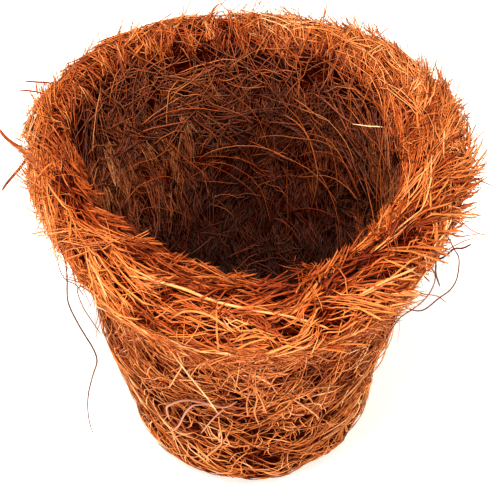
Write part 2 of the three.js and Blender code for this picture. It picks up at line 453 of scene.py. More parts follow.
    def relief(self, solid: BVHTree, places: np.ndarray, normals: np.ndarray) -> np.ndarray:
        """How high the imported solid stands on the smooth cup, with its tufts levelled.

        Args:
            solid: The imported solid's faces.
            places: The smooth cup's places.
            normals: Its normals.

        Returns:
            An array of rows and columns, in metres.
        """
        found = np.zeros(places.shape[:2])
        for row, column in np.ndindex(found.shape):
            place, normal = Vector(places[row, column]), Vector(normals[row, column])
            hit = solid.ray_cast(place + normal * self.reach, -normal, 2 * self.reach)
            found[row, column] = self.reach - hit[3] if hit[0] else 0
        found = np.clip(found, -MM, self.highest_relief)
        for _ in range(self.smoothings):
            found = (np.roll(found, 1, 1) + 2 * found + np.roll(found, -1, 1)) / 4
            found[1:-1] = (found[:-2] + 2 * found[1:-1] + found[2:]) / 4
        return found

    def insets(self) -> np.ndarray:
        """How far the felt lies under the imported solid, for every row and column, in metres."""
        middle = (self.runs["brim"] + self.runs["mouth"]) / 2
        on_brim = np.clip(1 - np.abs(self.rows - middle) / (self.runs["mouth"] - middle), 0, 1)
        brim = smooth_step(0, self.brim_fade, on_brim)[:, None]
        angles = np.arange(self.columns) * 360 / self.columns
        deeper, wall_deeper = np.full(self.columns, self.brim_inset), np.zeros(self.columns)
        for depths, hollows in ((deeper, self.hollows), (wall_deeper, self.wall_hollows)):
            for angle, width, depth in hollows:
                off = np.abs((angles - angle + 180) % 360 - 180)
                depths += depth * np.exp(-((off / width) ** 2))
        foot = smooth_step(self.foot_share, self.foot_share * self.fade, self.rows / self.run)[:, None]
        middle = (self.runs["wall"] + self.runs["brim"]) / 2
        off_middle = np.abs(self.rows - middle) / (self.runs["brim"] - middle)
        on_wall = smooth_step(1, self.fade, off_middle)[:, None]
        level = self.inset + (self.foot_inset - self.inset) * foot
        return level + brim * deeper[None] + on_wall * wall_deeper[None]

    def build(self, solid_object: bpy.types.Object) -> bpy.types.Object:
        """Makes the felt body as one closed mesh, unwrapped round the pot and along its outline.

        Args:
            solid_object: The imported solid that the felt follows.

        Returns:
            The felt body's object.
        """
        source = solid_object.data
        solid = BVHTree.FromPolygons([v.co for v in source.vertices], [p.vertices for p in source.polygons])
        places, normals = self.plain_grid()
        raised = self.relief(solid, places, normals) - self.insets()
        grid = places + normals * raised[..., None]
        foot, top = (0, 0, self.inset), (0, 0, self.floor_height - self.inset)
        round_step = np.roll(grid, -1, 1) - np.roll(grid, 1, 1)
        facing = np.cross(round_step, np.gradient(grid, axis=0))
        facing /= np.linalg.norm(facing, axis=-1, keepdims=True)
        points = [foot, *grid.reshape(-1, 3).tolist(), top]
        rows, columns, last = len(self.rows), self.columns, len(points) - 1
        faces, corners = [], []
        shares = self.rows / self.run
        for column in range(columns):
            after = (column + 1) % columns
            left, right = column / columns, (column + 1) / columns
            faces.append((0, 1 + after, 1 + column))
            corners += [((left + right) / 2, 0), (right, shares[0]), (left, shares[0])]
            for row in range(rows - 1):
                low, high = 1 + row * columns, 1 + (row + 1) * columns
                faces.append((low + column, low + after, high + after, high + column))
                corners += [(left, shares[row]), (right, shares[row])]
                corners += [(right, shares[row + 1]), (left, shares[row + 1])]
            base = 1 + (rows - 1) * columns
            faces.append((last, base + column, base + after))
            corners += [((left + right) / 2, 1), (left, shares[-1]), (right, shares[-1])]
        mesh = unwrapped_mesh("coir_felt", points, faces, corners)
        outward = np.vstack([(0, 0, -1), facing.reshape(-1, 3), (0, 0, 1)]).astype(np.float32)
        mesh.attributes.new(FACING, "FLOAT_VECTOR", "POINT").data.foreach_set("vector", outward.ravel())
        return placed("coir_felt", mesh)

    def wall_radius(self, heights: np.ndarray) -> np.ndarray:
        """The plain outline's radius on the outer wall at the given heights."""
        radii = (self.wall_foot_radius, self.wall_top_radius)
        return np.interp(heights, (self.foot_round, self.brim_start), radii)

    def at(self, stop: Stop) -> float:
        """The run at a stop, in metres."""
        return self.runs[stop[0]] + stop[1] * MM

    def band_area(self, first_run: float, last_run: float) -> float:
        """The area in square metres between two runs along the outline."""
        inside = (self.rows > first_run) & (self.rows < last_run)
        return float((math.tau * self.outline[inside, 0]).sum() * self.run / (len(self.rows) + 1))


@dataclass(frozen=True)
class Palette:
    """The colours of coconut fibre, from the dark of the felt to the palest straw."""

    stops: tuple[tuple[float, str], ...] = (
        (0.0, "180300"),
        (0.15, "3a0900"),
        (0.3, "681a02"),
        (0.5, "a84e1b"),
        (0.75, "dd8745"),
        (0.9, "f0b27c"),
        (1.0, "f7d3aa"),
    )

    def build(self) -> bpy.types.ShaderNodeTree:
        """Makes the shader group that turns a tone into a colour.

        Returns:
            The group, with Tone going in and Color coming out.
        """
        tree = bpy.data.node_groups.new("coir_palette", "ShaderNodeTree")
        tree.interface.new_socket("Tone", in_out="INPUT", socket_type="NodeSocketFloat")
        tree.interface.new_socket("Color", in_out="OUTPUT", socket_type="NodeSocketColor")
        w = TreeWriter(tree)
        ramp = w.node("ShaderNodeValToRGB", {0: w.node("NodeGroupInput").outputs[0]})
        fill_ramp(ramp, shades(*self.stops))
        w.put(w.node("NodeGroupOutput").inputs[0], ramp.outputs[0])
        return tree


def fill_ramp(ramp: bpy.types.Node, stops: list[tuple[float, tuple[float, ...]]]) -> None:
    """Gives a Color Ramp node its stops.

    Args:
        ramp: The node.
        stops: Pairs of a place and a linear colour, from left to right.
    """
    elements = ramp.color_ramp.elements
    for i, (place, colour) in enumerate(stops):
        element = elements[i] if i < 2 else elements.new(place)
        element.position, element.color = place, colour


def streaks_group() -> bpy.types.ShaderNodeTree:
    """Makes the shader group of fine streaks: noise drawn out along one way of a surface.

    Returns:
        The group, with Place, Scale and Stretch going in and Streaks coming out.
    """
    tree = bpy.data.node_groups.new("coir_streaks", "ShaderNodeTree")
    for name, kind in (("Place", "Vector"), ("Scale", "Float"), ("Stretch", "Vector")):
        tree.interface.new_socket(name, in_out="INPUT", socket_type=f"NodeSocket{kind}")
    tree.interface.new_socket("Streaks", in_out="OUTPUT", socket_type="NodeSocketFloat")
    w = TreeWriter(tree)
    given = w.node("NodeGroupInput").outputs
    stretched = w.vector("MULTIPLY", given[0], given[2])
    w.put(w.node("NodeGroupOutput").inputs[0], w.noise(stretched, given[1], 3.0))
    return tree


def new_material(name: str) -> tuple[bpy.types.Material, TreeWriter, bpy.types.Node]:
    """Starts a material.

    Args:
        name: The material's name.

    Returns:
        The material, the writer of its tree and its Principled BSDF node.
    """
    material = bpy.data.materials.new(name)
    material.use_nodes = True
    return material, TreeWriter(material.node_tree), material.node_tree.nodes["Principled BSDF"]


def group_node(
    w: TreeWriter, group: bpy.types.ShaderNodeTree, inputs: dict[str, Value]
) -> bpy.types.NodeSocket:
    """Places a shader group and returns its first output."""
    node = w.node("ShaderNodeGroup", node_tree=group)
    for name, value in inputs.items():
        w.put(node.inputs[name], value)
    return node.outputs[0]


@dataclass(frozen=True)
class ShaderGroups:
    """The two shader groups that the pot's materials share."""

    palette: bpy.types.ShaderNodeTree
    streaks: bpy.types.ShaderNodeTree


@dataclass(frozen=True)
class Finish:
    """A material of the pot. Each kind writes its own surface, and this class puts it all together."""

    name: str
    bump: float
    bump_depth: float  # in metres
    specular: float

    def surface(self, w: TreeWriter, groups: ShaderGroups) -> tuple[Value, Value, Value]:
        """Writes the surface's nodes and returns its colour, its roughness and its fine relief."""
        raise NotImplementedError

    def build(self, groups: ShaderGroups) -> bpy.types.Material:
        """Makes the material.

        Args:
            groups: The shader groups that it shares with the others.

        Returns:
            The material.
        """
        material, w, shader = new_material(self.name)
        colour, roughness, relief = self.surface(w, groups)
        w.put(shader.inputs["Base Color"], colour)
        w.put(shader.inputs["Roughness"], roughness)
        bump = {"Strength": self.bump, "Distance": self.bump_depth, "Height": relief}
        w.put(shader.inputs["Normal"], w.node("ShaderNodeBump", bump).outputs[0])
        shader.inputs["Specular IOR Level"].default_value = self.specular
        return material


@dataclass(frozen=True)
class FibreFinish(Finish):
    """The finish of single fibres: a waxy, slightly glossy straw, streaked along its length."""

    name: str = "coir_fibre"
    bump: float = 0.1
    bump_depth: float = 0.05 * MM
    specular: float = 0.2
    roughness: float = 0.46
    roughness_change: float = 0.25
    streaks: float = 0.12
    stretch: Vector3 = (14, 260, 1)
    dust: float = 0.0
    dust_colour: str = "80604e"

    def surface(self, w: TreeWriter, groups: ShaderGroups) -> tuple[Value, Value, Value]:
        """Reads each fibre's tone from its own unwrapped place, streaks it and lays dust over it."""
        place = w.node("ShaderNodeUVMap", uv_map=UNWRAP).outputs[0]
        tone = w.separate(place)[1]
        grain = group_node(w, groups.streaks, {"Place": place, "Scale": 1.0, "Stretch": self.stretch})
        changed = w.times_plus(grain, 2 * self.streaks, w.minus(tone, self.streaks))
        clean = group_node(w, groups.palette, {"Tone": changed})
        dust = shades((0, self.dust_colour))[0][1]
        dusted = {"Factor_Float": self.dust, "A_Color": clean, "B_Color": dust}
        colour = w.node("ShaderNodeMix", dusted, data_type="RGBA").outputs["Result"]
        smoothest = self.roughness - self.roughness_change / 2
        return colour, w.times_plus(grain, self.roughness_change, smoothest), grain


@dataclass(frozen=True)
class FeltFinish(Finish):
    """The finish of the felt under the fibres: dark as painted shade, matted and criss-crossed with finer
    fibre.
    """

    name: str = "coir_felt"
    bump: float = 0.6
    bump_depth: float = 0.6 * MM
    specular: float = 0.0
    # a dark tone, painted shade for the gaps between the fibres
    tone: float = 0.05
    tone_change: float = 0.26
    scale: float = 260.0
    stretches: tuple[Vector3, Vector3] = ((1, 1, 6), (5, 5, 1))  # of its level and its upright streaks
    contrast: Span = (4, -1.9)
    roughness: float = 0.95
    roughness_change: float = -0.15

    def surface(self, w: TreeWriter, groups: ShaderGroups) -> tuple[Value, Value, Value]:
        """Crosses two sets of streaks on Object coordinates and returns what they make."""
        place = w.node("ShaderNodeTexCoord").outputs["Object"]
        level, upright = (
            group_node(w, groups.streaks, {"Place": place, "Scale": self.scale, "Stretch": stretch})
            for stretch in self.stretches
        )
        crossed = w.math("MAXIMUM", level, upright)
        raised = w.math("MAXIMUM", w.times_plus(crossed, *self.contrast), 0.0)
        colour = group_node(w, groups.palette, {"Tone": w.times_plus(raised, self.tone_change, self.tone)})
        return colour, w.times_plus(raised, self.roughness_change, self.roughness), crossed


@dataclass(frozen=True)
class CrumbFinish(Finish):
    """The finish of the crumbs: dull, dark brown and grainy."""

    name: str = "coir_pith"
    bump: float = 0.5
    bump_depth: float = 0.2 * MM
    specular: float = 0.1
    tone: float = 0.05
    tone_change: float = 0.3
    scale: float = 2400.0
    roughness: float = 0.85
    roughness_change: float = 0.1

    def surface(self, w: TreeWriter, groups: ShaderGroups) -> tuple[Value, Value, Value]:
        """Lays a fine grain on Object coordinates and returns what it makes."""
        place = w.node("ShaderNodeTexCoord").outputs["Object"]
        grain = group_node(w, groups.streaks, {"Place": place, "Scale": self.scale, "Stretch": (1, 1, 1)})
        colour = group_node(w, groups.palette, {"Tone": w.times_plus(grain, self.tone_change, self.tone)})
        return colour, w.times_plus(grain, self.roughness_change, self.roughness), grain


FIBRE = FibreFinish()
MAT_FIBRE = FibreFinish("coir_mat_fibre", specular=0.03)
WALL_FIBRE = FibreFinish("coir_wall_fibre", specular=0.08, dust=0.02, dust_colour="b08c78")
INNER_FIBRE = FibreFinish("coir_inner_fibre", specular=0.12, dust=0.28)
INNER_FUR = FibreFinish("coir_inner_fur", specular=0.1, dust=0.36, dust_colour="94624c")
FLOOR_FIBRE = FibreFinish("coir_floor_fibre", specular=0.04, dust=0.24, dust_colour="5c4234")
GREYED_FIBRE = FibreFinish("coir_greyed_fibre", dust=0.6, dust_colour="a87c6c")


@dataclass(frozen=True)
class StrandLayer:
    """One layer of fibres, in tufts.

    Lengths are in millimetres, angles in degrees and bends in radians per metre. A layer goes from its
    first stop on the felt's outline to its last. Two numbers are the least and the most, but those of
    side are the middle and half the width of the part of the pot it covers, and those of jitter are a
    tuft's and a strand's. A heading of 0 runs round the pot, counter-clockwise from above, and 90 runs
    along the outline, up the wall and into the mouth. A lean turns the heading one way on the right of
    the pot and the other way on its left, and lean_out adds to it at the layer's first stop. The layer
    gets thinner by lip_thinning towards its last stop. A fibre is darker by its painted depth shading
    at the bottom of its layer and paler by as much at the top: painted shade on the deep fibres and
    painted light on the high ones. A painted shade also darkens the layer from its first stop to its last.
    """

    piece: str
    ground: Ground = Ground.WRAPPED
    finish: FibreFinish = FIBRE
    first: Stop = ("foot", 0)
    last: Stop = ("floor", 0)
    side: Span = (0, 180)
    tufts: int = 950
    seed: int = 1
    per_tuft: int = 2
    tuft_width: float = 1.2
    gather: float = 0.3
    patches: float = 0.0
    stations: int = 5
    end_crowding: float = 0.6
    anchor: float = 0.5
    length: Span = (6, 18)
    heading: float = 0.0
    crossing: float = 0.0
    lean: float = 0.0
    lean_out: float = 0.0
    heading_swing: float = 30.0
    jitter: Span = (180, 40)
    turned_back: float = 0.0
    clump_scale: float = 120.0
    bend: float = 0.0
    bend_swing: float = 60.0
    sway: float = 0.3
    lie: Span = (0.4, 1.8)
    arch: float = 0.4
    tip_lift: float = 0.0
    flare: float = 0.0
    rise: float = 0.0
    lip_thinning: float = 0.0
    farthest: float = 1000.0
    radius: Span = (0.1, 0.2)
    tone: float = 0.58
    tone_spread: float = 0.2
    tone_clumps: float = 0.12
    # painted shade on a layer's deep fibres and painted light on its high ones
    tone_depth: float = 0.2
    # painted shade that darkens a layer from its first stop to its last
    tone_fall: float = 0.0

    COUNTS = ("seed", "per_tuft", "stations")  # the tree's whole numbers
    IN_MILLIMETRES = (
        "tuft_width", "length", "sway", "lie", "arch", "tip_lift", "flare", "rise", "farthest", "radius",
    )
    NOT_NUMBERS = ("piece", "ground", "finish", "first", "last", "tufts")
    PAIRS = {  # the tree's two inputs for each pair of numbers
        "side": ("side", "side_width"),
        "length": ("shortest", "longest"),
        "jitter": ("tuft_jitter", "strand_jitter"),
        "lie": ("lie_low", "lie_high"),
        "radius": ("thinnest", "thickest"),
    }

    def numbers(self, body: FeltBody) -> dict[str, float | int]:
        """The layer's numbers, in metres, by the names of the strand tree's inputs.

        Args:
            body: The sizes of the felt that the layer lies on.

        Returns:
            One number for each input.
        """
        made = {"first_run": body.at(self.first), "last_run": body.at(self.last)}
        for own in (field.name for field in fields(self) if field.name not in self.NOT_NUMBERS):
            value = getattr(self, own)
            unit = MM if own in self.IN_MILLIMETRES else 1
            names, numbers = (self.PAIRS[own], value) if own in self.PAIRS else ([own], [value])
            made |= {name: number * unit for name, number in zip(names, numbers)}
        return made


class FeltTree:
    """A Geometry Nodes tree that reads the felt and gives back a mesh that grows on it."""

    HELPERS: tuple[str, ...] = ()
    PATCH_SCALE = 260  # of the noise that the patches come from
    PATCH_CONTRAST = (5, -2)  # a factor and what is added, which set the patches off sharply

    def __init__(self, name: str, kinds: dict[str, str]) -> None:
        """Starts the tree with its named inputs and its output.

        Args:
            name: The tree's name.
            kinds: The kinds of its numbers, by name.
        """
        self.tree = bpy.data.node_groups.new(name, "GeometryNodeTree")
        self.write = TreeWriter(self.tree)
        self.sockets: dict[str, str] = {}
        face = self.tree.interface
        for title, kind in ({"Felt": "Geometry"} | kinds | {"finish": "Material"}).items():
            made = face.new_socket(title, in_out="INPUT", socket_type=f"NodeSocket{kind}")
            self.sockets[title] = made.identifier
        face.new_socket("Grown", in_out="OUTPUT", socket_type="NodeSocketGeometry")
        self.inputs = {s.name: s for s in self.write.node("NodeGroupInput").outputs}

    def patch(self) -> Value:
        """How far a place lies inside one of the patches that most fibres or crumbs are in."""
        w = self.write
        place = w.node("GeometryNodeInputPosition").outputs[0]
        return w.clamp(w.times_plus(w.noise(place, self.PATCH_SCALE), *self.PATCH_CONTRAST))

    def scattered(self, share: Value) -> Value:
        """Points strewn on the felt between two runs, at the given share of the tree's density."""
        w, given = self.write, self.inputs
        run = w.times(w.separate(w.attribute(UNWRAP))[1], given["run"])
        above = w.math("GREATER_THAN", run, given["first_run"])
        below = w.math("LESS_THAN", run, given["last_run"])
        chosen = {"Mesh": given["Felt"], "Selection": w.times(above, below), "Seed": given["seed"]}
        chosen |= {"Density": w.times(given["density"], share)}
        return w.node("GeometryNodeDistributePointsOnFaces", chosen).outputs[0]

    def give_back(self, mesh: Value) -> None:
        """Ends the tree: realizes the mesh and gives it its material."""
        w = self.write
        mesh = w.node("GeometryNodeRealizeInstances", {"Geometry": mesh}).outputs[0]
        finished = {"Geometry": mesh, "Material": self.inputs["finish"]}
        w.put(w.node("NodeGroupOutput").inputs[0], w.node("GeometryNodeSetMaterial", finished).outputs[0])

    def grow(self, name: str, felt: bpy.types.Object, values: dict[str, object]) -> bpy.types.Object:
        """Runs the tree on the felt and keeps its result as a plain mesh.

        Args:
            name: The new piece's name.
            felt: The felt that the tree reads.
            values: The tree's inputs by their names.

        Returns:
            The new piece, with its modifier and its helper attributes gone.
        """
        piece = placed(name, felt.data)
        modifier = piece.modifiers.new("grown", "NODES")
        modifier.node_group = self.tree
        for title, value in values.items():
            modifier[self.sockets[title]] = value
        evaluated = piece.evaluated_get(bpy.context.evaluated_depsgraph_get())
        mesh = bpy.data.meshes.new_from_object(evaluated)
        piece.modifiers.remove(modifier)
        piece.data = mesh
        mesh.name = name
        for helper in (*self.HELPERS, FACING):
            if helper in mesh.attributes:
                mesh.attributes.remove(mesh.attributes[helper])
        return piece


class StrandTree(FeltTree):
    """Geometry Nodes that scatter tufts on the felt and lay a bent, tapered fibre for each strand."""

    START, START_UV, TUFT, STRAND = "start", "start_uv", "tuft", "strand"
    TONE, ALONG, AROUND = "tone", "along", "around"
    HELPERS = (START, START_UV, TUFT, STRAND, TONE, ALONG, AROUND)
    PROFILE_SIDES = 3
    SEED_STEP = 97  # keeps the random numbers of layers with neighbouring seeds apart
    LEAST_HEIGHT = 0.2 * MM  # no strand goes lower than this, and no layer counts as less deep
    HUGGED = 9 * MM  # below this height the strands lie closer and closer to the felt
    LEAST_HUG = 0.15  # the share of its height over the felt that a strand keeps at the very bottom
    TUFT_SHARE = 0.5  # how much of a strand's depth, bend and tone it shares with its tuft
    SIDE_FADE = 4  # how steeply a layer thins out past its side's width
    SIDE_TURN = 2  # how steeply a lean changes over between right and left
    CLUMP_CONTRAST = (4, -2)  # the same for the clumps in which headings and tones go together
    SLIP = 0.12  # how far a strand is shifted along itself, as a share of its length
    ALMOST_NONE = 1e-5  # keeps a straight strand's bend from being divided by nothing
    SECOND_SWAY, SECOND_PHASE = 0.4, 6  # the sway's second wave beside its first, and its widest shift
    ARCH_SHARES = (0.2, 1)  # the shares of a layer's arch that its strands get
    END_SHARES = (0.1, 1)  # the same for its tip lift and its flare
    RISE_SHARES = (-0.3, 1)  # the same for its rise, which turns round for a few
    END_POWER = 1.8  # how late along a strand its tip lift, flare and rise set in
    TAPER_POWER = 6  # how late along a strand it gets thinner
    THIN_POWER = 1.6  # the higher, the commoner thin strands are than thick ones
    LEAST_V = 0.1  # strands keep off the outline's first tenth, the middle of the underside
    MERGED = 1e-6  # points closer than this become one, so that both ends of a strand are closed

    def __init__(self, ground: Ground, body: FeltBody) -> None:
        """Builds the tree for one kind of ground.

        Args:
            ground: What the fibres follow.
            body: The sizes of the felt.
        """
        names = StrandLayer("example").numbers(body)
        kinds = {name: "Int" if name in StrandLayer.COUNTS else "Float" for name in names}
        kinds |= {"density": "Float", "run": "Float"}
        super().__init__(f"strands_{ground.name.lower()}", kinds)
        self.ground, self.body = ground, body
        self.draws = 0
        self.build()

    def chance(self, low: Value, high: Value, who: str = STRAND) -> bpy.types.NodeSocket:
        """A random number from low to high, the same all along one strand or all over one tuft."""
        self.draws += 1
        seed = self.write.times_plus(self.inputs["seed"], self.SEED_STEP, self.draws)
        return self.write.random(low, high, ID=self.write.attribute(who, "INT"), Seed=seed)

    def family_chance(self, low: Value, high: Value) -> bpy.types.NodeSocket:
        """A random number that the strands of one tuft mostly share."""
        own, shared = self.chance(low, high), self.chance(low, high, self.TUFT)
        return self.write.mix(own, shared, self.TUFT_SHARE)

    def store(
        self, geometry: Value, name: str, kind: str, value: Value, domain: str = "POINT"
    ) -> Value:
        """Stores a named attribute and returns the geometry that has it."""
        inputs = {"Geometry": geometry, "Name": name, "Value": value}
        kinds = {"data_type": kind, "domain": domain}
        return self.write.node("GeometryNodeStoreNamedAttribute", inputs, **kinds).outputs[0]

    def passed(self) -> Value:
        """Where a strand starts between the layer's first run, which is 0, and its last, which is 1."""
        w, given = self.write, self.inputs
        run = w.times(w.separate(w.attribute(self.START_UV))[1], given["run"])
        stretch = w.minus(given["last_run"], given["first_run"])
        return w.over(w.minus(run, given["first_run"]), stretch)

    def strand_points(self) -> Value:
        """Tuft points between the two runs and on the asked side, multiplied into strand points."""
        w, given = self.write, self.inputs
        unwrapped = w.attribute(UNWRAP)
        turn = w.minus(w.times(w.separate(unwrapped)[0], math.tau), w.math("RADIANS", given["side"]))
        limit = w.math("COSINE", w.math("RADIANS", given["side_width"]))
        beside = w.clamp(w.times_plus(w.minus(w.math("COSINE", turn), limit), self.SIDE_FADE, 1))
        thinned = w.mix(1.0, self.patch(), given["patches"])
        points = self.scattered(w.times(beside, thinned))
        place = w.node("GeometryNodeInputPosition").outputs[0]
        points = self.store(points, self.START, "FLOAT_VECTOR", place)
        points = self.store(points, self.START_UV, "FLOAT_VECTOR", unwrapped)
        number = w.node("GeometryNodeInputIndex").outputs[0]
        points = self.store(points, self.TUFT, "INT", number)
        copies = {"Geometry": points, "Amount": given["per_tuft"]}
        points = w.node("GeometryNodeDuplicateElements", copies, domain="POINT").outputs[0]
        return self.store(points, self.STRAND, "INT", number)

    def raw_curves(self) -> Value:
        """One straight curve with the asked number of stations for each scattered strand."""
        w = self.write
        line = w.node("GeometryNodeCurvePrimitiveLine", {"End": (1, 0, 0)}).outputs[0]
        stations = {"Curve": line, "Count": self.inputs["stations"]}
        line = w.node("GeometryNodeResampleCurve", stations).outputs[0]
        copies = {"Points": self.strand_points(), "Instance": line}
        copies = w.node("GeometryNodeInstanceOnPoints", copies).outputs[0]
        return w.node("GeometryNodeRealizeInstances", {"Geometry": copies}).outputs[0]

    def steps(self, share: Value, clump: Value) -> tuple[Value, Value]:
        """How far a station lies from its start, round the pot and along its outline."""
        w, given = self.write, self.inputs
        jitter = w.times(given["tuft_jitter"], self.chance(-1, 1, self.TUFT))
        jitter = w.times_plus(given["strand_jitter"], self.chance(-1, 1), jitter)
        swing = w.times_plus(given["heading_swing"], clump, jitter)
        back = w.math("LESS_THAN", self.chance(0, 1, self.TUFT), given["turned_back"])
        back = w.times(back, 180)
        other_way = w.times_plus(w.math("LESS_THAN", self.chance(0, 1, self.TUFT), 0.5), 2, -1)
        crossed = w.times_plus(given["crossing"], other_way, given["heading"])
        around = w.times(w.separate(w.attribute(self.START_UV))[0], math.tau)
        rightness = w.times(w.math("COSINE", around), self.SIDE_TURN)
        rightness = w.math("MINIMUM", w.math("MAXIMUM", rightness, -1), 1)
        leaned = w.times_plus(given["lean"], rightness, crossed)
        leaned = w.times_plus(given["lean_out"], w.minus(1, self.passed()), leaned)
        heading = w.math("RADIANS", w.plus(w.plus(leaned, swing), back))
        length = self.family_chance(given["shortest"], given["longest"])
        slipped = w.plus(w.minus(share, given["anchor"]), self.chance(-self.SLIP, self.SLIP))
        along = w.times(slipped, length)
        bend = w.times_plus(given["bend_swing"], self.family_chance(-1, 1), given["bend"])
        half_turn = w.times_plus(w.times(along, bend), 0.5, self.ALMOST_NONE)
        chord = w.over(w.times(along, w.math("SINE", half_turn)), half_turn)
        direction = w.plus(heading, half_turn)
        phase = w.times(w.plus(share, self.chance(0, 1)), math.tau)
        twice = w.times_plus(phase, 2, self.chance(0, self.SECOND_PHASE))
        swayed = w.times_plus(w.math("SINE", twice), self.SECOND_SWAY, w.math("SINE", phase))
        aside = w.times(given["sway"], swayed)
        beside = w.times(given["tuft_width"], self.chance(-1, 1))
        gathered = w.minus(1, w.times(given["gather"], share))
        aside = w.times_plus(beside, gathered, aside)
        level = w.minus(w.times(chord, w.math("COSINE", direction)),
                       w.times(aside, w.math("SINE", heading)))
        upward = w.plus(w.times(chord, w.math("SINE", direction)),
                        w.times(aside, w.math("COSINE", heading)))
        return level, upward

    def on_ground(self, level: Value, upward: Value) -> tuple[Value, Value]:
        """The place on the felt that a station lies over, and the way the felt faces there."""
        w, given = self.write, self.inputs
        start = w.attribute(self.START)
        if self.ground is Ground.LEVEL:
            place = w.vector("ADD", start, w.combine(level, upward, 0.0))
            radius = w.vector("LENGTH", w.vector("MULTIPLY", place, (1, 1, 0)))
            kept = w.math("MINIMUM", radius, given["farthest"])
            shrink = w.over(kept, w.math("MAXIMUM", radius, MM))
            return w.vector("MULTIPLY", place, w.combine(shrink, shrink, 1.0)), w.attribute(FACING)
        radius = w.vector("LENGTH", w.vector("MULTIPLY", start, (1, 1, 0)))
        first = w.separate(w.attribute(self.START_UV))
        turn = w.over(level, w.times(radius, math.tau))
        u = w.math("FRACT", w.plus(w.plus(first[0], turn), 1.0))
        v = w.plus(first[1], w.over(upward, given["run"]))
        where = w.combine(u, w.math("MAXIMUM", v, self.LEAST_V), 0.0)
        source = w.attribute(UNWRAP)
        found = []
        place = w.node("GeometryNodeInputPosition").outputs[0]
        for value in (place, w.attribute(FACING)):
            inputs = {"Mesh": given["Felt"], "Value": value, "Source UV Map": source, "Sample UV": where}
            sampled = w.node("GeometryNodeSampleUVSurface", inputs, data_type="FLOAT_VECTOR")
            found.append(sampled.outputs[0])
        return found[0], found[1]

    def build(self) -> None:
        """Writes the whole tree."""
        w, given = self.write, self.inputs
        curves = self.raw_curves()
        factor = w.node("GeometryNodeSplineParameter").outputs[0]
        centred = w.times_plus(factor, 2, -1)
        pushed = w.math("POWER", w.math("ABSOLUTE", centred), given["end_crowding"])
        share = w.times_plus(w.times(pushed, w.math("SIGN", centred)), 0.5, 0.5)
        start = w.attribute(self.START)
        clump = w.times_plus(w.noise(start, given["clump_scale"]), *self.CLUMP_CONTRAST)
        place, facing = self.on_ground(*self.steps(share, clump))

        depth = self.family_chance(0, 1)
        lie = w.mix(given["lie_low"], given["lie_high"], depth)
        hump = w.times(w.times(share, w.minus(1, share)), 4)
        arched = w.times(w.times(given["arch"], hump), self.chance(*self.ARCH_SHARES))
        far = w.math("MAXIMUM", given["anchor"], w.minus(1, given["anchor"]))
        off = w.over(w.math("ABSOLUTE", w.minus(share, given["anchor"])), far)
        reach = w.math("POWER", off, self.END_POWER)
        lifted = w.times(w.times(given["tip_lift"], reach), self.family_chance(*self.END_SHARES))
        past_middle = w.clamp(w.times_plus(self.passed(), 2, -1))
        thinned = w.times_plus(w.times(given["lip_thinning"], past_middle), -1, 1)
        raised = w.clamp(w.over(w.separate(place)[2], self.HUGGED))
        hugging = w.times_plus(raised, 1 - self.LEAST_HUG, self.LEAST_HUG)
        thinned = w.times(thinned, hugging)
        height = w.times(w.plus(w.plus(lie, arched), lifted), thinned)
        outward = w.vector("NORMALIZE", w.vector("MULTIPLY", place, (1, 1, 0)))
        flared = w.times(w.times(given["flare"], reach), self.family_chance(*self.END_SHARES))
        risen = w.times(w.times(given["rise"], reach), self.family_chance(*self.RISE_SHARES))
        spot = w.vector("ADD", place, w.scaled(facing, height))
        spot = w.vector("ADD", spot, w.scaled(outward, flared))
        x, y, z = w.separate(w.vector("ADD", spot, w.combine(0.0, 0.0, risen)))
        spot = w.combine(x, y, w.math("MAXIMUM", z, self.LEAST_HEIGHT))
        curves = w.node("GeometryNodeSetPosition", {"Geometry": curves, "Position": spot}).outputs[0]

        spread = w.times(given["tone_spread"], self.family_chance(-1, 1))
        clumped = w.times_plus(given["tone_clumps"], clump, spread)
        layer_depth = w.minus(given["lie_high"], given["lie_low"])
        layer_depth = w.math("MAXIMUM", layer_depth, self.LEAST_HEIGHT)
        raised = w.clamp(w.over(w.minus(height, given["lie_low"]), layer_depth))
        # painted shade on the deep fibres and painted light on the high ones
        deep = w.times(given["tone_depth"], w.times_plus(raised, 2, -1))
        # painted shade: the layer gets darker from its first stop to its last
        faded = w.times_plus(w.times(given["tone_fall"], self.passed()), -1, given["tone"])
        tone = w.clamp(w.plus(w.plus(faded, clumped), deep))
        curves = self.store(curves, self.TONE, "FLOAT", tone)
        curves = self.store(curves, self.ALONG, "FLOAT", factor)
        sharpness = w.math("POWER", w.math("ABSOLUTE", centred), self.TAPER_POWER)
        taper = w.math("SQRT", w.minus(1, sharpness))
        thickness = w.math("POWER", self.chance(0, 1), self.THIN_POWER)
        thick = w.mix(given["thinnest"], given["thickest"], thickness)
        self.finish(curves, w.times(thick, taper))

    def finish(self, curves: Value, thick: Value) -> None:
        """Turns the curves into closed fibres with pointed ends, and writes their unwrapped place.

        Args:
            curves: The bent curves.
            thick: The radius at each station, which is nothing at both ends.
        """
        w = self.write
        ring = {"Resolution": self.PROFILE_SIDES, "Radius": 1.0}
        ring = w.node("GeometryNodeCurvePrimitiveCircle", ring).outputs[0]
        round_share = w.node("GeometryNodeSplineParameter").outputs[0]
        profile = self.store(ring, self.AROUND, "FLOAT", round_share)
        swept = {"Curve": curves, "Profile Curve": profile, "Scale": thick, "Fill Caps": False}
        mesh = w.node("GeometryNodeCurveToMesh", swept).outputs[0]
        merged = {"Geometry": mesh, "Distance": self.MERGED}
        mesh = w.node("GeometryNodeMergeByDistance", merged).outputs[0]
        across = w.times_plus(w.attribute(self.AROUND, "FLOAT"), STRIP, STRIP)
        side = w.times_plus(w.attribute(self.TONE, "FLOAT"), TONE_SPAN, across)
        along = w.times_plus(w.attribute(self.ALONG, "FLOAT"), 1 - 2 * STRIP, STRIP)
        spread_out = w.combine(along, side, 0.0)
        mesh = self.store(mesh, UNWRAP, "FLOAT2", spread_out, "CORNER")
        smooth = {"Geometry": mesh, "Shade Smooth": True}
        self.give_back(w.node("GeometryNodeSetShadeSmooth", smooth).outputs[0])

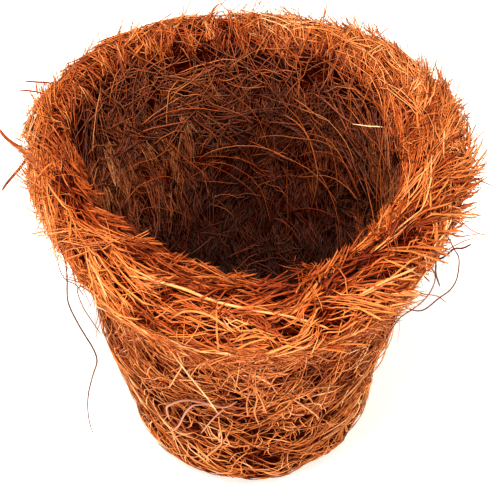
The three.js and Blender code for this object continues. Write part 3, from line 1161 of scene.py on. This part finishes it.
    def grow_layer(
        self, layer: StrandLayer, felt: bpy.types.Object, finish: bpy.types.Material
    ) -> bpy.types.Object:
        """Grows one layer as a plain mesh.

        Args:
            layer: The layer.
            felt: The felt that the fibres follow.
            finish: The fibres' material.

        Returns:
            The layer's object.
        """
        numbers = layer.numbers(self.body)
        density = layer.tufts / self.body.band_area(numbers["first_run"], numbers["last_run"])
        values = numbers | {"density": density, "run": self.body.run, "finish": finish}
        return self.grow(layer.piece, felt, values)


# The outer wall: the dark mat, whose tone is painted shade between the strands, and the strands over it
WALL_LAYERS = (
    # the wall's dark mat: its low tone is painted shade between the strands over it
    StrandLayer(
        "wall_mat", finish=MAT_FIBRE, first=("foot", 0), last=("brim", 0), tufts=1900, seed=11,
        per_tuft=3, tuft_width=1.6, length=(8, 20), crossing=44, jitter=(70, 24), bend_swing=110,
        lie=(-0.1, 0.4), tip_lift=-0.4, radius=(0.11, 0.2), tone=0.2, tone_spread=0.1, tone_fall=0.14,
    ),
    StrandLayer(
        "wall_fibres", finish=WALL_FIBRE, first=("foot", 1), last=("brim", -7), tufts=1950, seed=12,
        tuft_width=1.4, patches=0.85, stations=7, end_crowding=0.9, crossing=44, lean=46,
        jitter=(56, 26), bend_swing=120, sway=0.6, lie=(0.2, 1.7), tip_lift=-1.2, radius=(0.11, 0.23),
        tone=0.69, tone_spread=0.18, tone_clumps=0.1, tone_depth=0.34, tone_fall=0.26,
    ),
    StrandLayer(
        "wall_curls", finish=WALL_FIBRE, first=("wall", 1), last=("brim", -4), tufts=1150, seed=13,
        tuft_width=1.0, patches=0.75, stations=10, end_crowding=1.0, length=(7, 20), bend_swing=240,
        sway=0.7, lie=(0.7, 2.1), arch=0.5, tip_lift=-1.4, radius=(0.11, 0.22), tone=0.63,
        tone_spread=0.17, tone_clumps=0.06, tone_depth=0.28, tone_fall=0.2,
    ),
    StrandLayer(
        "wall_knots", finish=WALL_FIBRE, first=("brim", -36), last=("brim", 8), side=(-95, 85),
        tufts=1250, seed=36, tuft_width=1.4, patches=0.85, stations=10, end_crowding=1.0, length=(8, 24),
        bend_swing=260, sway=0.8, lie=(1, 2.6), arch=0.6, tip_lift=-1.4, radius=(0.12, 0.24), tone=0.51,
        tone_spread=0.18, tone_clumps=0.1, tone_depth=0.28,
    ),
    StrandLayer(
        "wall_sweeps", finish=WALL_FIBRE, first=("wall", 2), last=("brim", 2), tufts=250, seed=29,
        tuft_width=1.4, patches=0.5, stations=12, end_crowding=1.0, length=(16, 40), crossing=30,
        lean=34, heading_swing=34, jitter=(40, 16), bend_swing=46, sway=0.7, lie=(1.2, 2.3),
        tip_lift=-1.6, radius=(0.11, 0.23), tone=0.64, tone_depth=0.14,
    ),
)

# What the two fans share
FAN = {
    "first": ("brim", 8), "last": ("mouth", 0), "per_tuft": 4, "tuft_width": 1.1, "gather": 0.2,
    "patches": 0.8, "anchor": 0.2, "length": (7, 21), "heading_swing": 14, "jitter": (16, 12),
    "bend_swing": 40, "lie": (1.2, 3.4), "tip_lift": 1.2, "lip_thinning": 0.85,
}

# The brim: what lies all round it, and the fans, locks and drapes on one side
BRIM_LAYERS = (
    # the brim's dark mat: its low tone is painted shade between the fibres over it
    StrandLayer(
        "brim_mat", finish=MAT_FIBRE, first=("brim", -1), last=("mouth", 2), tufts=1600, seed=14,
        per_tuft=3, tuft_width=1.6, length=(10, 20), lean=-8, jitter=(50, 18), bend_swing=30.0,
        lie=(0, 1.2), lip_thinning=0.85, radius=(0.1, 0.22), tone=0.26, tone_spread=0.12,
    ),
    StrandLayer(
        "brim_fibres", first=("brim", 4), last=("mouth", 1), tufts=2500, seed=15, tuft_width=1.1,
        patches=0.9, length=(5, 15), lean=-4, heading_swing=24, jitter=(32, 20), bend_swing=130,
        sway=0.4, lie=(0.8, 2.8), tip_lift=0.6, flare=0.8, lip_thinning=0.85, radius=(0.09, 0.22),
        tone=0.56, tone_spread=0.18, tone_depth=0.22, tone_fall=0.16,
    ),
    StrandLayer(
        "right_fan", **FAN, side=(-12, 56), seed=23, heading=-11, lean_out=-22, flare=6.4,
        radius=(0.14, 0.34), tone=0.52, tone_clumps=0.05, tone_depth=0.22,
    ),
    # paler than the right fan: painted light for the left of the brim, which faces away from the lamps
    StrandLayer(
        "left_fan", **FAN, side=(173, 56), seed=26, heading=-2, lean_out=-14, flare=1.6,
        radius=(0.11, 0.28), tone_spread=0.18, tone_clumps=0.08, tone_depth=0.18,
    ),
    StrandLayer(
        "front_locks", first=("brim", 2), last=("mouth", -4), side=(-95, 80), tufts=1150, seed=22,
        per_tuft=5, gather=0.35, patches=0.9, length=(6, 15), heading=6, lean=12, heading_swing=22,
        jitter=(26, 18), bend_swing=140, sway=0.5, lie=(1, 3.4), tip_lift=0.8, flare=0.4,
        lip_thinning=0.6, radius=(0.16, 0.34), tone=0.53, tone_spread=0.18, tone_clumps=0.1,
        tone_depth=0.26,
    ),
    StrandLayer(
        "front_curls", finish=WALL_FIBRE, first=("brim", -10), last=("brim", 15), side=(-95, 85),
        tufts=640, seed=34, patches=0.5, stations=12, end_crowding=1.0, length=(10, 28),
        heading_swing=40, jitter=(90, 30), bend_swing=130, sway=0.7, lie=(1.4, 3.2), arch=0.6,
        tip_lift=-1, radius=(0.12, 0.28), tone_spread=0.18, tone_clumps=0.1,
    ),
    StrandLayer(
        "front_drape", finish=WALL_FIBRE, first=("brim", -2), last=("brim", 14), side=(-112, 84),
        tufts=640, seed=32, patches=1.0, stations=7, anchor=0.1, length=(9, 26), crossing=58,
        heading_swing=40, jitter=(60, 30), turned_back=0.5, bend_swing=130, sway=0.6, lie=(0.6, 3.6),
        rise=-15, radius=(0.12, 0.26), tone=0.57, tone_spread=0.22, tone_clumps=0.08,
    ),
    StrandLayer(
        "right_drape", finish=WALL_FIBRE, first=("brim", -4), last=("brim", 12), side=(-40, 42),
        tufts=1100, seed=43, patches=0.9, stations=8, length=(12, 26), heading=44, heading_swing=26,
        jitter=(36, 20), sway=0.6, lie=(0.8, 3), arch=2.6, tip_lift=-0.8, radius=(0.12, 0.26), tone=0.56,
        tone_spread=0.22, tone_clumps=0.08,
    ),
    StrandLayer(
        "brow_locks", first=("brim", 6), last=("brim", 13), side=(-84, 92), tufts=560, seed=39,
        per_tuft=5, tuft_width=1.3, gather=0.4, patches=1.0, anchor=0.2, length=(7, 18), heading=-24,
        lean=24, heading_swing=50, jitter=(40, 18), bend_swing=160, sway=0.5, lie=(1, 3), flare=0.6,
        rise=-8, radius=(0.13, 0.29), tone=0.52, tone_clumps=0.14,
    ),
    StrandLayer(
        "back_locks", first=("mouth", -15), last=("mouth", 0), side=(42, 30), tufts=900, seed=37,
        per_tuft=3, tuft_width=1.1, patches=0.8, anchor=0.15, length=(6, 16), heading=-14,
        heading_swing=16, jitter=(20, 12), turned_back=0.3, bend_swing=50, lie=(1, 3), tip_lift=1.2,
        flare=1.6, lip_thinning=0.6, radius=(0.1, 0.24), tone_spread=0.22, tone_clumps=0.14,
    ),
    StrandLayer(
        "lip_strands", first=("mouth", -10), last=("mouth", 1), side=(4, 34), tufts=300, seed=27,
        per_tuft=3, tuft_width=1, gather=0.2, stations=7, length=(12, 28), heading=-8, heading_swing=14,
        jitter=(12, 9), bend_swing=24, lie=(1, 2.8), lip_thinning=0.6, radius=(0.12, 0.24), tone=0.6,
        tone_depth=0.16,
    ),
)

# The cut ends that stand off the brim, and the stray hairs
FRINGE_LAYERS = (
    StrandLayer(
        "brim_bristles", first=("brim", 5), last=("mouth", -8), side=(95, 108), tufts=1700, seed=16,
        tuft_width=0.9, gather=-0.4, patches=0.5, anchor=0.0, length=(4, 12), heading=-90, lean=50,
        jitter=(34, 20), bend_swing=110, tip_lift=2.4, flare=4, rise=1.8, radius=(0.06, 0.15),
        tone_depth=0.12,
    ),
    StrandLayer(
        "ragged_ends", first=("brim", 9), last=("mouth", -8), side=(100, 116), tufts=740, seed=35,
        per_tuft=4, tuft_width=1.1, patches=0.9, anchor=0.1, length=(6, 15), heading=-90, lean=64,
        heading_swing=26, jitter=(30, 14), bend_swing=70, lie=(1, 2.4), tip_lift=4, flare=6.4, rise=2.8,
        radius=(0.08, 0.18), tone=0.6, tone_depth=0.1,
    ),
    StrandLayer(
        "back_fringe", first=("mouth", -12), last=("mouth", 1), side=(86, 78), tufts=1750, seed=24,
        per_tuft=3, tuft_width=0.9, gather=-0.2, patches=0.6, stations=4, anchor=0.1, length=(4, 11),
        heading=-88, heading_swing=34, jitter=(46, 20), bend_swing=30.0, tip_lift=1.2, rise=3.2,
        radius=(0.08, 0.19), tone=0.61, tone_spread=0.28, tone_clumps=0.16, tone_depth=0.16,
        tone_fall=0.24,
    ),
    StrandLayer(
        "lip_tufts", first=("mouth", -8), last=("mouth", 0), side=(-108, 66), tufts=620, seed=17,
        per_tuft=6, tuft_width=0.8, gather=0.5, patches=1.0, anchor=0.0, length=(4, 15), heading=42,
        heading_swing=40, jitter=(34, 18), turned_back=0.3, bend_swing=30.0, lie=(0.6, 1.8),
        tip_lift=3.2, rise=4, radius=(0.1, 0.3), tone=0.5, tone_depth=0.02,
    ),
    StrandLayer(
        "stray_hairs", first=("brim", -24), last=("mouth", 0), tufts=420, seed=25, per_tuft=1,
        stations=10, end_crowding=1.0, anchor=0.0, length=(8, 24), heading_swing=60, jitter=(120, 7),
        bend_swing=240, sway=0.8, lie=(1, 2), tip_lift=6, flare=2, rise=1, radius=(0.06, 0.1), tone=0.4,
        tone_spread=0.25, tone_depth=0.1,
    ),
)

# The inner wall and the floor
INNER_LAYERS = (
    StrandLayer(
        "inner_fibres", finish=INNER_FIBRE, first=("mouth", 8), last=("floor", 0), tufts=3300, seed=18,
        per_tuft=4, tuft_width=1.8, stations=4, length=(4, 13), heading=90, heading_swing=44,
        jitter=(26, 16), clump_scale=70, lie=(0, 1.2), tip_lift=0.3, radius=(0.05, 0.1), tone=0.48,
        tone_spread=0.14, tone_depth=0.12, tone_fall=0.62,
    ),
    StrandLayer(
        "inner_fur", finish=INNER_FUR, first=("mouth", 17), last=("mouth", 48), side=(156, 36),
        tufts=1100, seed=38, per_tuft=4, tuft_width=1.4, patches=0.8, stations=4, length=(5, 15),
        heading=94, heading_swing=20, jitter=(18, 12), bend_swing=50, lie=(0.6, 1.9),
        radius=(0.05, 0.11), tone=0.6, tone_spread=0.16, tone_fall=0.24,
    ),
    StrandLayer(
        "inner_weave", finish=INNER_FIBRE, first=("mouth", -2), last=("floor", -10), tufts=620, seed=28,
        patches=0.4, stations=7, end_crowding=0.8, bend_swing=160, sway=0.6, arch=0.8,
        radius=(0.07, 0.13), tone=0.4, tone_spread=0.16, tone_fall=0.28,
    ),
    StrandLayer(
        "back_weave", finish=INNER_FIBRE, first=("mouth", 0), last=("mouth", 22), side=(84, 66), seed=33,
        patches=0.7, stations=6, length=(7, 22), bend_swing=80, sway=0.5, lie=(0.5, 2.4), tone=0.42,
        tone_spread=0.18, tone_fall=0.2,
    ),
    StrandLayer(
        "inner_arcs", first=("mouth", 0), last=("mouth", 44), side=(72, 56), tufts=150, seed=19,
        per_tuft=1, patches=0.5, stations=12, end_crowding=0.8, length=(16, 44), heading=-34,
        heading_swing=24, jitter=(42, 14), bend=30, bend_swing=26, sway=0.6, lie=(1, 2.6), arch=1.6,
        radius=(0.1, 0.19), tone=0.42, tone_fall=0.16,
    ),
    StrandLayer(
        "floor_fibres", ground=Ground.LEVEL, finish=FLOOR_FIBRE, first=("floor", 0), last=("end", -1),
        tufts=420, seed=20, per_tuft=3, length=(8, 16), jitter=(180, 7), lie=(0, 0.8), farthest=28,
        tone=0.21, tone_spread=0.14,
    ),
)

# The fibres pressed flat under the foot
UNDERSIDE = StrandLayer(
    "underside_fibres", ground=Ground.LEVEL, first=("start", 1), last=("foot", 0), tufts=340, seed=21,
    per_tuft=3, length=(10, 20), jitter=(180, 7), lie=(-0.2, 0.5), arch=0.0, farthest=27.6, tone=0.46,
)


class CrumbTree(FeltTree):
    """Geometry Nodes that scatter crumbs of pith: small lumps of uneven shape, stuck between the fibres."""

    NUMBERS = ("density", "first_run", "last_run", "run", "smallest", "largest", "lowest", "highest")
    PATCH_SCALE = 90
    LEAST_STRETCH, MOST_STRETCH = (0.6, 0.6, 0.5), (1.5, 1.1, 1.0)
    MOST_TURN = (6.3, 6.3, 6.3)  # round each axis, in radians
    UNEVEN_SCALE = 1900.0  # of the noise that shifts a crumb's corners
    UNEVENNESS = 1.2  # how far it shifts them, as a share of the largest crumb

    def __init__(self) -> None:
        """Builds the tree."""
        super().__init__("pith_crumbs", dict.fromkeys(self.NUMBERS, "Float") | {"seed": "Int"})
        w, given = self.write, self.inputs
        points = self.scattered(self.patch())
        lump = w.node("GeometryNodeMeshIcoSphere", {"Radius": 1.0, "Subdivisions": 1}).outputs[0]
        size = w.random(given["smallest"], given["largest"], Seed=1)
        size = w.scaled(w.random_vector(self.LEAST_STRETCH, self.MOST_STRETCH, 2), size)
        turn = w.random_vector((0, 0, 0), self.MOST_TURN, 3)
        lumps = {"Points": points, "Instance": lump, "Rotation": turn, "Scale": size}
        lumps = w.node("GeometryNodeInstanceOnPoints", lumps).outputs[0]
        raised = w.scaled(w.attribute(FACING), w.random(given["lowest"], given["highest"], Seed=4))
        moved = {"Instances": lumps, "Translation": raised, "Local Space": False}
        lumps = w.node("GeometryNodeTranslateInstances", moved).outputs[0]
        mesh = w.node("GeometryNodeRealizeInstances", {"Geometry": lumps}).outputs[0]
        place = w.node("GeometryNodeInputPosition").outputs[0]
        uneven = {"Vector": place, "Scale": self.UNEVEN_SCALE, "Detail": 1.0}
        uneven = w.node("ShaderNodeTexNoise", uneven).outputs[1]
        uneven = w.vector("SUBTRACT", uneven, (0.5, 0.5, 0.5))
        shift = w.scaled(uneven, w.times(given["largest"], self.UNEVENNESS))
        mesh = w.node("GeometryNodeSetPosition", {"Geometry": mesh, "Offset": shift}).outputs[0]
        self.give_back(mesh)


@dataclass(frozen=True)
class PithCrumbs:
    """The crumbs of pith that cling to the shaggy brim. Lengths are in metres."""

    first: Stop = ("brim", 4)
    last: Stop = ("mouth", 0)
    crumbs: int = 420
    crowding: int = 2  # makes up for the bare half between the patches that the crumbs lie in
    seed: int = 31
    smallest: float = 0.25 * MM
    largest: float = 0.65 * MM
    lowest: float = 1.2 * MM
    highest: float = 2.4 * MM

    def build(
        self, felt: bpy.types.Object, body: FeltBody, finish: bpy.types.Material
    ) -> bpy.types.Object:
        """Makes the crumbs as one plain mesh.

        Args:
            felt: The felt that they cling to.
            body: The sizes of that felt.
            finish: Their material.

        Returns:
            The crumbs' object.
        """
        first, last = body.at(self.first), body.at(self.last)
        named = ("seed", "smallest", "largest", "lowest", "highest")
        values = {name: getattr(self, name) for name in named}
        values |= {"first_run": first, "last_run": last, "run": body.run, "finish": finish}
        values |= {"density": self.crowding * self.crumbs / body.band_area(first, last)}
        return CrumbTree().grow("pith_crumbs", felt, values)


Hair = tuple[float, float, tuple[tuple[float, ...], ...]]

# Each hair is its tone, its thickness in millimetres and the places that it goes through. Free hairs
# have three coordinates in millimetres, hairs on the wall an angle in degrees and a height in millimetres.
FREE_HAIRS: tuple[Hair, ...] = (
    (0.24, 0.4, (
        (-43, -21, 86), (-44, -21, 82), (-43.6, -21, 77), (-43.9, -21, 72), (-44.5, -21, 64),
        (-43.2, -21, 57), (-41.5, -21, 51), (-40, -21, 46), (-39.4, -21, 41), (-41, -21, 35),
        (-42.7, -21, 28), (-43.6, -21, 21), (-43.7, -21, 13.5), (-42.7, -21, 6),
    )),
    (0.42, 0.9, (
        (-47, 1, 84), (-51.2, 2, 88), (-53.7, 2, 91.2), (-55.7, 2, 94.1), (-58.2, 2, 97),
        (-59.5, 2, 100),
    )),
    (0.34, 0.75, ((-49, 2, 95), (-52, 2, 93.2), (-56.1, 2, 87.3), (-59.7, 2, 82.6), (-61.6, 2, 79.6))),
    (0.34, 0.46, ((-47, 23.5, 95), (-50.2, 24, 96), (-53.5, 24.4, 96), (-56.8, 24.8, 96))),
    (0.34, 0.44, ((-49, 19.5, 95), (-53.1, 20.5, 96), (-57.9, 21.3, 96))),
    (0.4, 0.26, (
        (-43, -18, 82), (-45.8, -18, 77), (-45.9, -18, 72), (-44.8, -18, 68.6), (-42.6, -18, 66.8),
        (-41, -18, 62.7),
    )),
    (0.4, 0.26, (
        (-38, -18, 66), (-42.2, -18, 65.7), (-41.8, -18, 59.4), (-40.3, -18, 54.4), (-38, -18, 48),
    )),
    (0.3, 0.34, (
        (43, -22, 90), (45.6, -22, 88), (47.7, -22, 83.7), (49.3, -22, 80.3), (49.6, -22, 74),
        (48.6, -22, 69.7), (46.1, -22, 66.5), (42.6, -22, 62), (39.1, -22, 62.4), (36, -22, 65),
    )),
    (0.4, 0.3, (
        (41, -22, 80), (43, -22, 77.5), (44.3, -22, 74.4), (44.2, -22, 70.8), (42.9, -22, 66.5),
        (40.1, -22, 62.4), (37.4, -22, 59.4), (35.3, -22, 54.4), (33.7, -22, 50.2), (31, -22, 46),
    )),
    (0.2, 0.5, (
        (40, -22, 77), (42.4, -22, 78.9), (45.7, -22, 81), (47.7, -22, 83.7), (49.8, -22, 84),
        (51.7, -22, 85.4),
    )),
    (0.2, 0.42, ((43, -22, 82), (44, -22, 78.9), (44.4, -22, 75.1), (45.9, -22, 70.5))),
    (0.25, 0.36, (
        (43.3, -22, 72.2), (40.9, -22, 74.7), (39.3, -22, 71.5), (38.5, -22, 69.7), (39.5, -22, 66.5),
    )),
    (0.5, 0.26, (
        (37, -22, 71), (39.7, -22, 69.4), (42.3, -22, 67.9), (45.5, -22, 67.2), (48.2, -22, 64.6),
    )),
    (0.5, 0.28, (
        (46, -14, 88), (48.5, -14, 86.6), (50.1, -14, 84.9), (52.6, -14, 82.2), (55.4, -14, 80.5),
        (57.9, -14, 80.2),
    )),
    (0.45, 0.28, (
        (44, -16, 83), (46.9, -16, 82.6), (50.3, -16, 81.9), (52.4, -16, 82.2), (54.5, -16, 82.6),
    )),
    (0.5, 0.3, ((44, -18, 78), (47, -18, 79.2), (48.5, -18, 80.5), (50.7, -18, 82.2), (53.2, -18, 83.3))),
    (0.97, 0.34, ((26, 20, 86), (29.8, 16.8, 88), (32.8, 16.5, 88), (38, 15.3, 88), (42, 13, 88))),
    (0.3, 0.3, ((46, -2, 91), (49, -3.9, 92), (52.3, -6, 92), (57.8, -9.8, 92))),
    (0.8, 0.7, (
        (-26, -42.2, 96.3), (-21.8, -43.5, 96.8), (-14.1, -46, 96.4), (-7.5, -48.6, 95.4),
        (0.1, -50, 94.3), (7.7, -51, 93.4), (13.2, -51.6, 91.9), (17, -51.4, 89.7),
    )),
    (0.72, 0.5, (
        (-18.9, -48, 86.2), (-16.6, -50, 91.5), (-13.8, -51.2, 95), (-10.9, -52, 95.8),
        (-7.9, -53, 95.4), (-5.4, -53.6, 93.7), (-2.9, -53.6, 91.4), (-0.3, -52.6, 89.6),
    )),
    (0.88, 0.2, ((-5.8, -52.5, 94.5), (-4.7, -53.9, 93.9), (-3.5, -53.5, 90.8))),
    (0.86, 0.22, ((-5, -52.5, 94.8), (-3.9, -54.1, 94.4), (-2.4, -53.9, 92.9), (-1.4, -53.5, 89.8))),
    (0.8, 0.2, ((-6.7, -52.5, 92.9), (-5, -53.9, 92.9), (-3.7, -54.1, 91.8), (-2.5, -53.5, 88.8))),
    (0.84, 0.22, ((-34, -36.5, 96.7), (-33.1, -38, 95.7), (-31.9, -38.5, 93))),
    (0.8, 0.2, ((-33.3, -36.5, 97.3), (-31.9, -38.5, 96.6), (-31.2, -38.5, 93.7))),
    (0.76, 0.2, ((-34.8, -36.5, 94.4), (-32.9, -38.5, 95), (-31.1, -39, 92.3))),
)
WALL_HAIRS: tuple[Hair, ...] = (
    (0.88, 0.6, ((-92, 68), (-88, 64.5), (-83, 59.5))),
    (0.66, 0.46, ((-89, 59), (-87.6, 53), (-88.3, 46), (-86.8, 39.5))),
    (0.72, 0.4, ((-88.5, 58.5), (-86, 51.5), (-84.2, 45))),
    (0.66, 0.4, ((-89.5, 57.5), (-90.9, 51.5), (-90.6, 43.5))),
    (0.76, 0.55, ((-89, 61), (-88.5, 67), (-86, 71.5), (-82, 73))),
    (0.66, 0.45, ((-84, 57), (-82.5, 62.5), (-80, 66))),
    (0.78, 0.4, ((-75.5, 50.5), (-70, 44.2), (-63, 35))),
    (0.66, 0.45, ((-99, 58), (-95, 65.5), (-90.5, 67), (-84.5, 61.5), (-81, 54.5))),
    (0.74, 0.5, ((-94, 55.5), (-89.5, 59.5), (-84, 64.5), (-77.5, 63.5))),
    (0.7, 0.42, ((-123, 58), (-126, 53), (-124.5, 50.5), (-120, 54.5), (-115, 54))),
)
GREYED_HAIRS: tuple[Hair, ...] = (
    (0.62, 0.7, (
        (-122, 31), (-122, 37.5), (-118.5, 42), (-111.5, 47.5), (-104, 48.5), (-98.5, 48), (-94, 51.5),
    )),
    (0.6, 0.6, ((-122.5, 25), (-118, 31), (-113.5, 40), (-109, 46), (-102, 48.5))),
    (0.64, 0.45, ((-109, 30.5), (-102.5, 41.5), (-98.5, 47))),
)


@dataclass
class LooseHairs:
    """Single hairs that lie on the pot or hang off it where the real one has them."""

    name: str
    free: tuple[Hair, ...] = ()
    on_wall: tuple[Hair, ...] = ()
    wall_lift: float = 2.3  # how far hairs on the wall lie off its plain outline, in millimetres
    sides: int = 5
    steps: int = 6

    ASIDE = (0.3, 0.5, 0.81)  # a way that no hair runs
    TAPER_POWER = 6  # how late along a hair it gets thinner
    LEAST_TAPER = 0.02  # keeps its last ring open, just before the tip

    def lines(self, body: FeltBody) -> list[tuple[float, float, np.ndarray]]:
        """The hairs' tones, thicknesses and middle lines, in metres.

        Args:
            body: The sizes of the felt that the hairs on the wall follow.

        Returns:
            One entry for each hair.
        """
        made = [(tone, width * MM, smooth_line(path, self.steps) * MM) for tone, width, path in self.free]
        for tone, width, path in self.on_wall:
            degrees, heights = smooth_line(path, self.steps).T
            angles, heights = np.radians(degrees), heights * MM
            radius = body.wall_radius(heights) + self.wall_lift * MM
            line = np.column_stack([radius * np.cos(angles), radius * np.sin(angles), heights])
            made.append((tone, width * MM, line))
        return made

    def build(self, finish: bpy.types.Material, body: FeltBody) -> bpy.types.Object:
        """Makes the hairs as one mesh of tapered tubes.

        Args:
            finish: The hairs' material.
            body: The sizes of the felt that they lie on.

        Returns:
            The hairs' object.
        """
        points, faces, corners = [], [], []
        for tone, width, line in self.lines(body):
            self.sweep(line, tone, width, points, faces, corners)
        mesh = unwrapped_mesh(self.name, points, faces, corners)
        mesh.materials.append(finish)
        return placed(self.name, mesh)

    def sweep(
        self, line: np.ndarray, tone: float, width: float, points: list, faces: list, corners: list
    ) -> None:
        """Adds one closed tube with pointed ends.

        Args:
            line: The hair's middle line, in metres.
            tone: Its tone.
            width: Its thickness, in metres.
            points: The mesh's points, which grow.
            faces: Its faces, which grow.
            corners: The unwrapped places of the faces' corners, which grow.
        """
        first, count = len(points), len(line)
        tangents = np.gradient(line, axis=0)
        tangents /= np.linalg.norm(tangents, axis=1, keepdims=True)
        aside = np.cross(tangents, self.ASIDE)
        aside /= np.linalg.norm(aside, axis=1, keepdims=True)
        above = np.cross(tangents, aside)
        share = np.linspace(0, 1, count)
        taper = 1 - np.abs(2 * share - 1) ** self.TAPER_POWER
        radii = width / 2 * np.sqrt(np.maximum(taper, self.LEAST_TAPER))
        turns = np.arange(self.sides) * math.tau / self.sides
        for centre, a, b, radius in zip(line, aside, above, radii):
            points += [tuple(centre + radius * (math.cos(t) * a + math.sin(t) * b)) for t in turns]
        points += [tuple(line[0]), tuple(line[-1])]
        start, end = first + count * self.sides, first + count * self.sides + 1
        low = STRIP + TONE_SPAN * tone
        for k in range(self.sides):
            after = (k + 1) % self.sides
            near, far = low + STRIP * k / self.sides, low + STRIP * (k + 1) / self.sides
            for row in range(count - 1):
                here, there = first + row * self.sides, first + (row + 1) * self.sides
                faces.append((here + k, here + after, there + after, there + k))
                corners += [(share[row], near), (share[row], far)]
                corners += [(share[row + 1], far), (share[row + 1], near)]
            faces.append((start, first + after, first + k))
            corners += [(0, near), (STRIP, far), (STRIP, near)]
            last = first + (count - 1) * self.sides
            faces.append((end, last + k, last + after))
            corners += [(1, near), (1 - STRIP, near), (1 - STRIP, far)]


@dataclass(frozen=True)
class Softbox:
    """One square lamp: where it hangs and its side in metres, its power in watts and its linear colour."""

    name: str
    place: Vector3
    size: float
    power: float
    colour: Vector3

    def hang(self, look: Vector3) -> None:
        """Adds the lamp to the scene, turned to the given place."""
        data = bpy.data.lights.new(self.name, "AREA")
        data.size, data.energy, data.color = self.size, self.power, self.colour
        lamp = placed(self.name, data)
        lamp.location = self.place
        lamp.rotation_euler = (Vector(look) - Vector(self.place)).to_track_quat("-Z", "Y").to_euler()


@dataclass
class Studio:
    """A pale floor, a white surround, soft lights, and a camera at the photograph's viewing angle."""

    elevation: float = 46.2
    distance: float = 330 * MM
    look: Vector3 = (0.1 * MM, 0.0, 60.4 * MM)
    sensor: float = 36.0
    lens: float = 91.9
    clip: Span = (CM, 10.0)
    key: Softbox = Softbox("key", (-0.05, -0.24, 0.8), 0.14, 10, (1.0, 0.98, 0.95))
    front: Softbox = Softbox("front", (-0.1, -0.87, 0.32), 0.4, 4.4, (0.9, 0.95, 1.0))
    surround: float = 0.5
    exposure: float = 0.08
    gamma: float = 0.88
    floor_half: float = 1.5
    floor_colour: tuple[float, ...] = (0.93, 0.93, 0.86, 1)
    floor_roughness: float = 0.9
    floor_glow: tuple[float, ...] = (1.0, 1.0, 0.92, 1)
    floor_glow_strength: float = 0.55

    def build(self) -> None:
        """Makes the camera, the floor, the lights and the surround."""
        self.add_camera()
        self.add_floor()
        self.key.hang(self.look)
        self.front.hang(self.look)
        world = bpy.data.worlds.new("white_surround")
        bpy.context.scene.world = world
        world.use_nodes = True
        background = world.node_tree.nodes["Background"]
        background.inputs[0].default_value = (1.0, 1.0, 1.0, 1.0)
        background.inputs[1].default_value = self.surround
        view = bpy.context.scene.view_settings
        view.view_transform, view.exposure, view.gamma = "Standard", self.exposure, self.gamma

    def add_camera(self) -> None:
        """Adds the camera, in front of the pot and above it."""
        tilt = math.radians(self.elevation)
        back = Vector((0, -math.cos(tilt), math.sin(tilt)))
        data = bpy.data.cameras.new("camera")
        data.lens, data.sensor_width = self.lens, self.sensor
        data.clip_start, data.clip_end = self.clip
        camera = placed("camera", data)
        camera.location = Vector(self.look) + back * self.distance
        camera.rotation_euler = (-back).to_track_quat("-Z", "Y").to_euler()
        bpy.context.scene.camera = camera

    def add_floor(self) -> None:
        """Adds the pale floor, which isn't part of the pot."""
        half = self.floor_half
        corners = [(-half, -half, 0), (half, -half, 0), (half, half, 0), (-half, half, 0)]
        mesh = bpy.data.meshes.new("floor")
        mesh.from_pydata(corners, [], [(0, 1, 2, 3)])
        material, _, shader = new_material("pale_floor")
        shader.inputs["Base Color"].default_value = self.floor_colour
        shader.inputs["Roughness"].default_value = self.floor_roughness
        shader.inputs["Emission Color"].default_value = self.floor_glow
        shader.inputs["Emission Strength"].default_value = self.floor_glow_strength
        mesh.materials.append(material)
        floor = placed("floor", mesh)


@dataclass
class CoirPot:
    """The whole pot: felt, fibres, loose hairs and crumbs, all riding on its one body."""

    body: FeltBody
    layers: tuple[StrandLayer, ...] = (
        *WALL_LAYERS, *BRIM_LAYERS, *FRINGE_LAYERS, *INNER_LAYERS, UNDERSIDE,
    )

    def build(self, frame: dict) -> None:
        """Makes every piece of the pot and says what rides on what.
        """
        groups = ShaderGroups(Palette().build(), streaks_group())
        felt = self.body.build(frame["nodes"][NODE])
        felt.data.materials.append(FeltFinish().build(groups))
        finishes = dict.fromkeys((*(layer.finish for layer in self.layers), GREYED_FIBRE))
        materials = {finish: finish.build(groups) for finish in finishes}
        trees = {ground: StrandTree(ground, self.body) for ground in Ground}
        pieces = [felt]
        for layer in self.layers:
            pieces.append(trees[layer.ground].grow_layer(layer, felt, materials[layer.finish]))
        loose = LooseHairs("loose_hairs", FREE_HAIRS, WALL_HAIRS)
        greyed = LooseHairs("greyed_hairs", on_wall=GREYED_HAIRS)
        pieces.append(loose.build(materials[FIBRE], self.body))
        pieces.append(greyed.build(materials[GREYED_FIBRE], self.body))
        pieces.append(PithCrumbs().build(felt, self.body, CrumbFinish().build(groups)))
        for piece in pieces:
            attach(piece, "root")
            triangles = sum(len(p.vertices) - 2 for p in piece.data.polygons)
            LOG.info("%s: %d triangles", piece.name, triangles)
        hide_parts(NODE)


def main() -> None:
    """Builds the studio and the pot."""
    logging.basicConfig(level=logging.INFO, format="%(name)s %(message)s")
    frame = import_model()
    Studio().build()
    CoirPot(FeltBody()).build(frame)


if __name__ == "__main__":
    main()
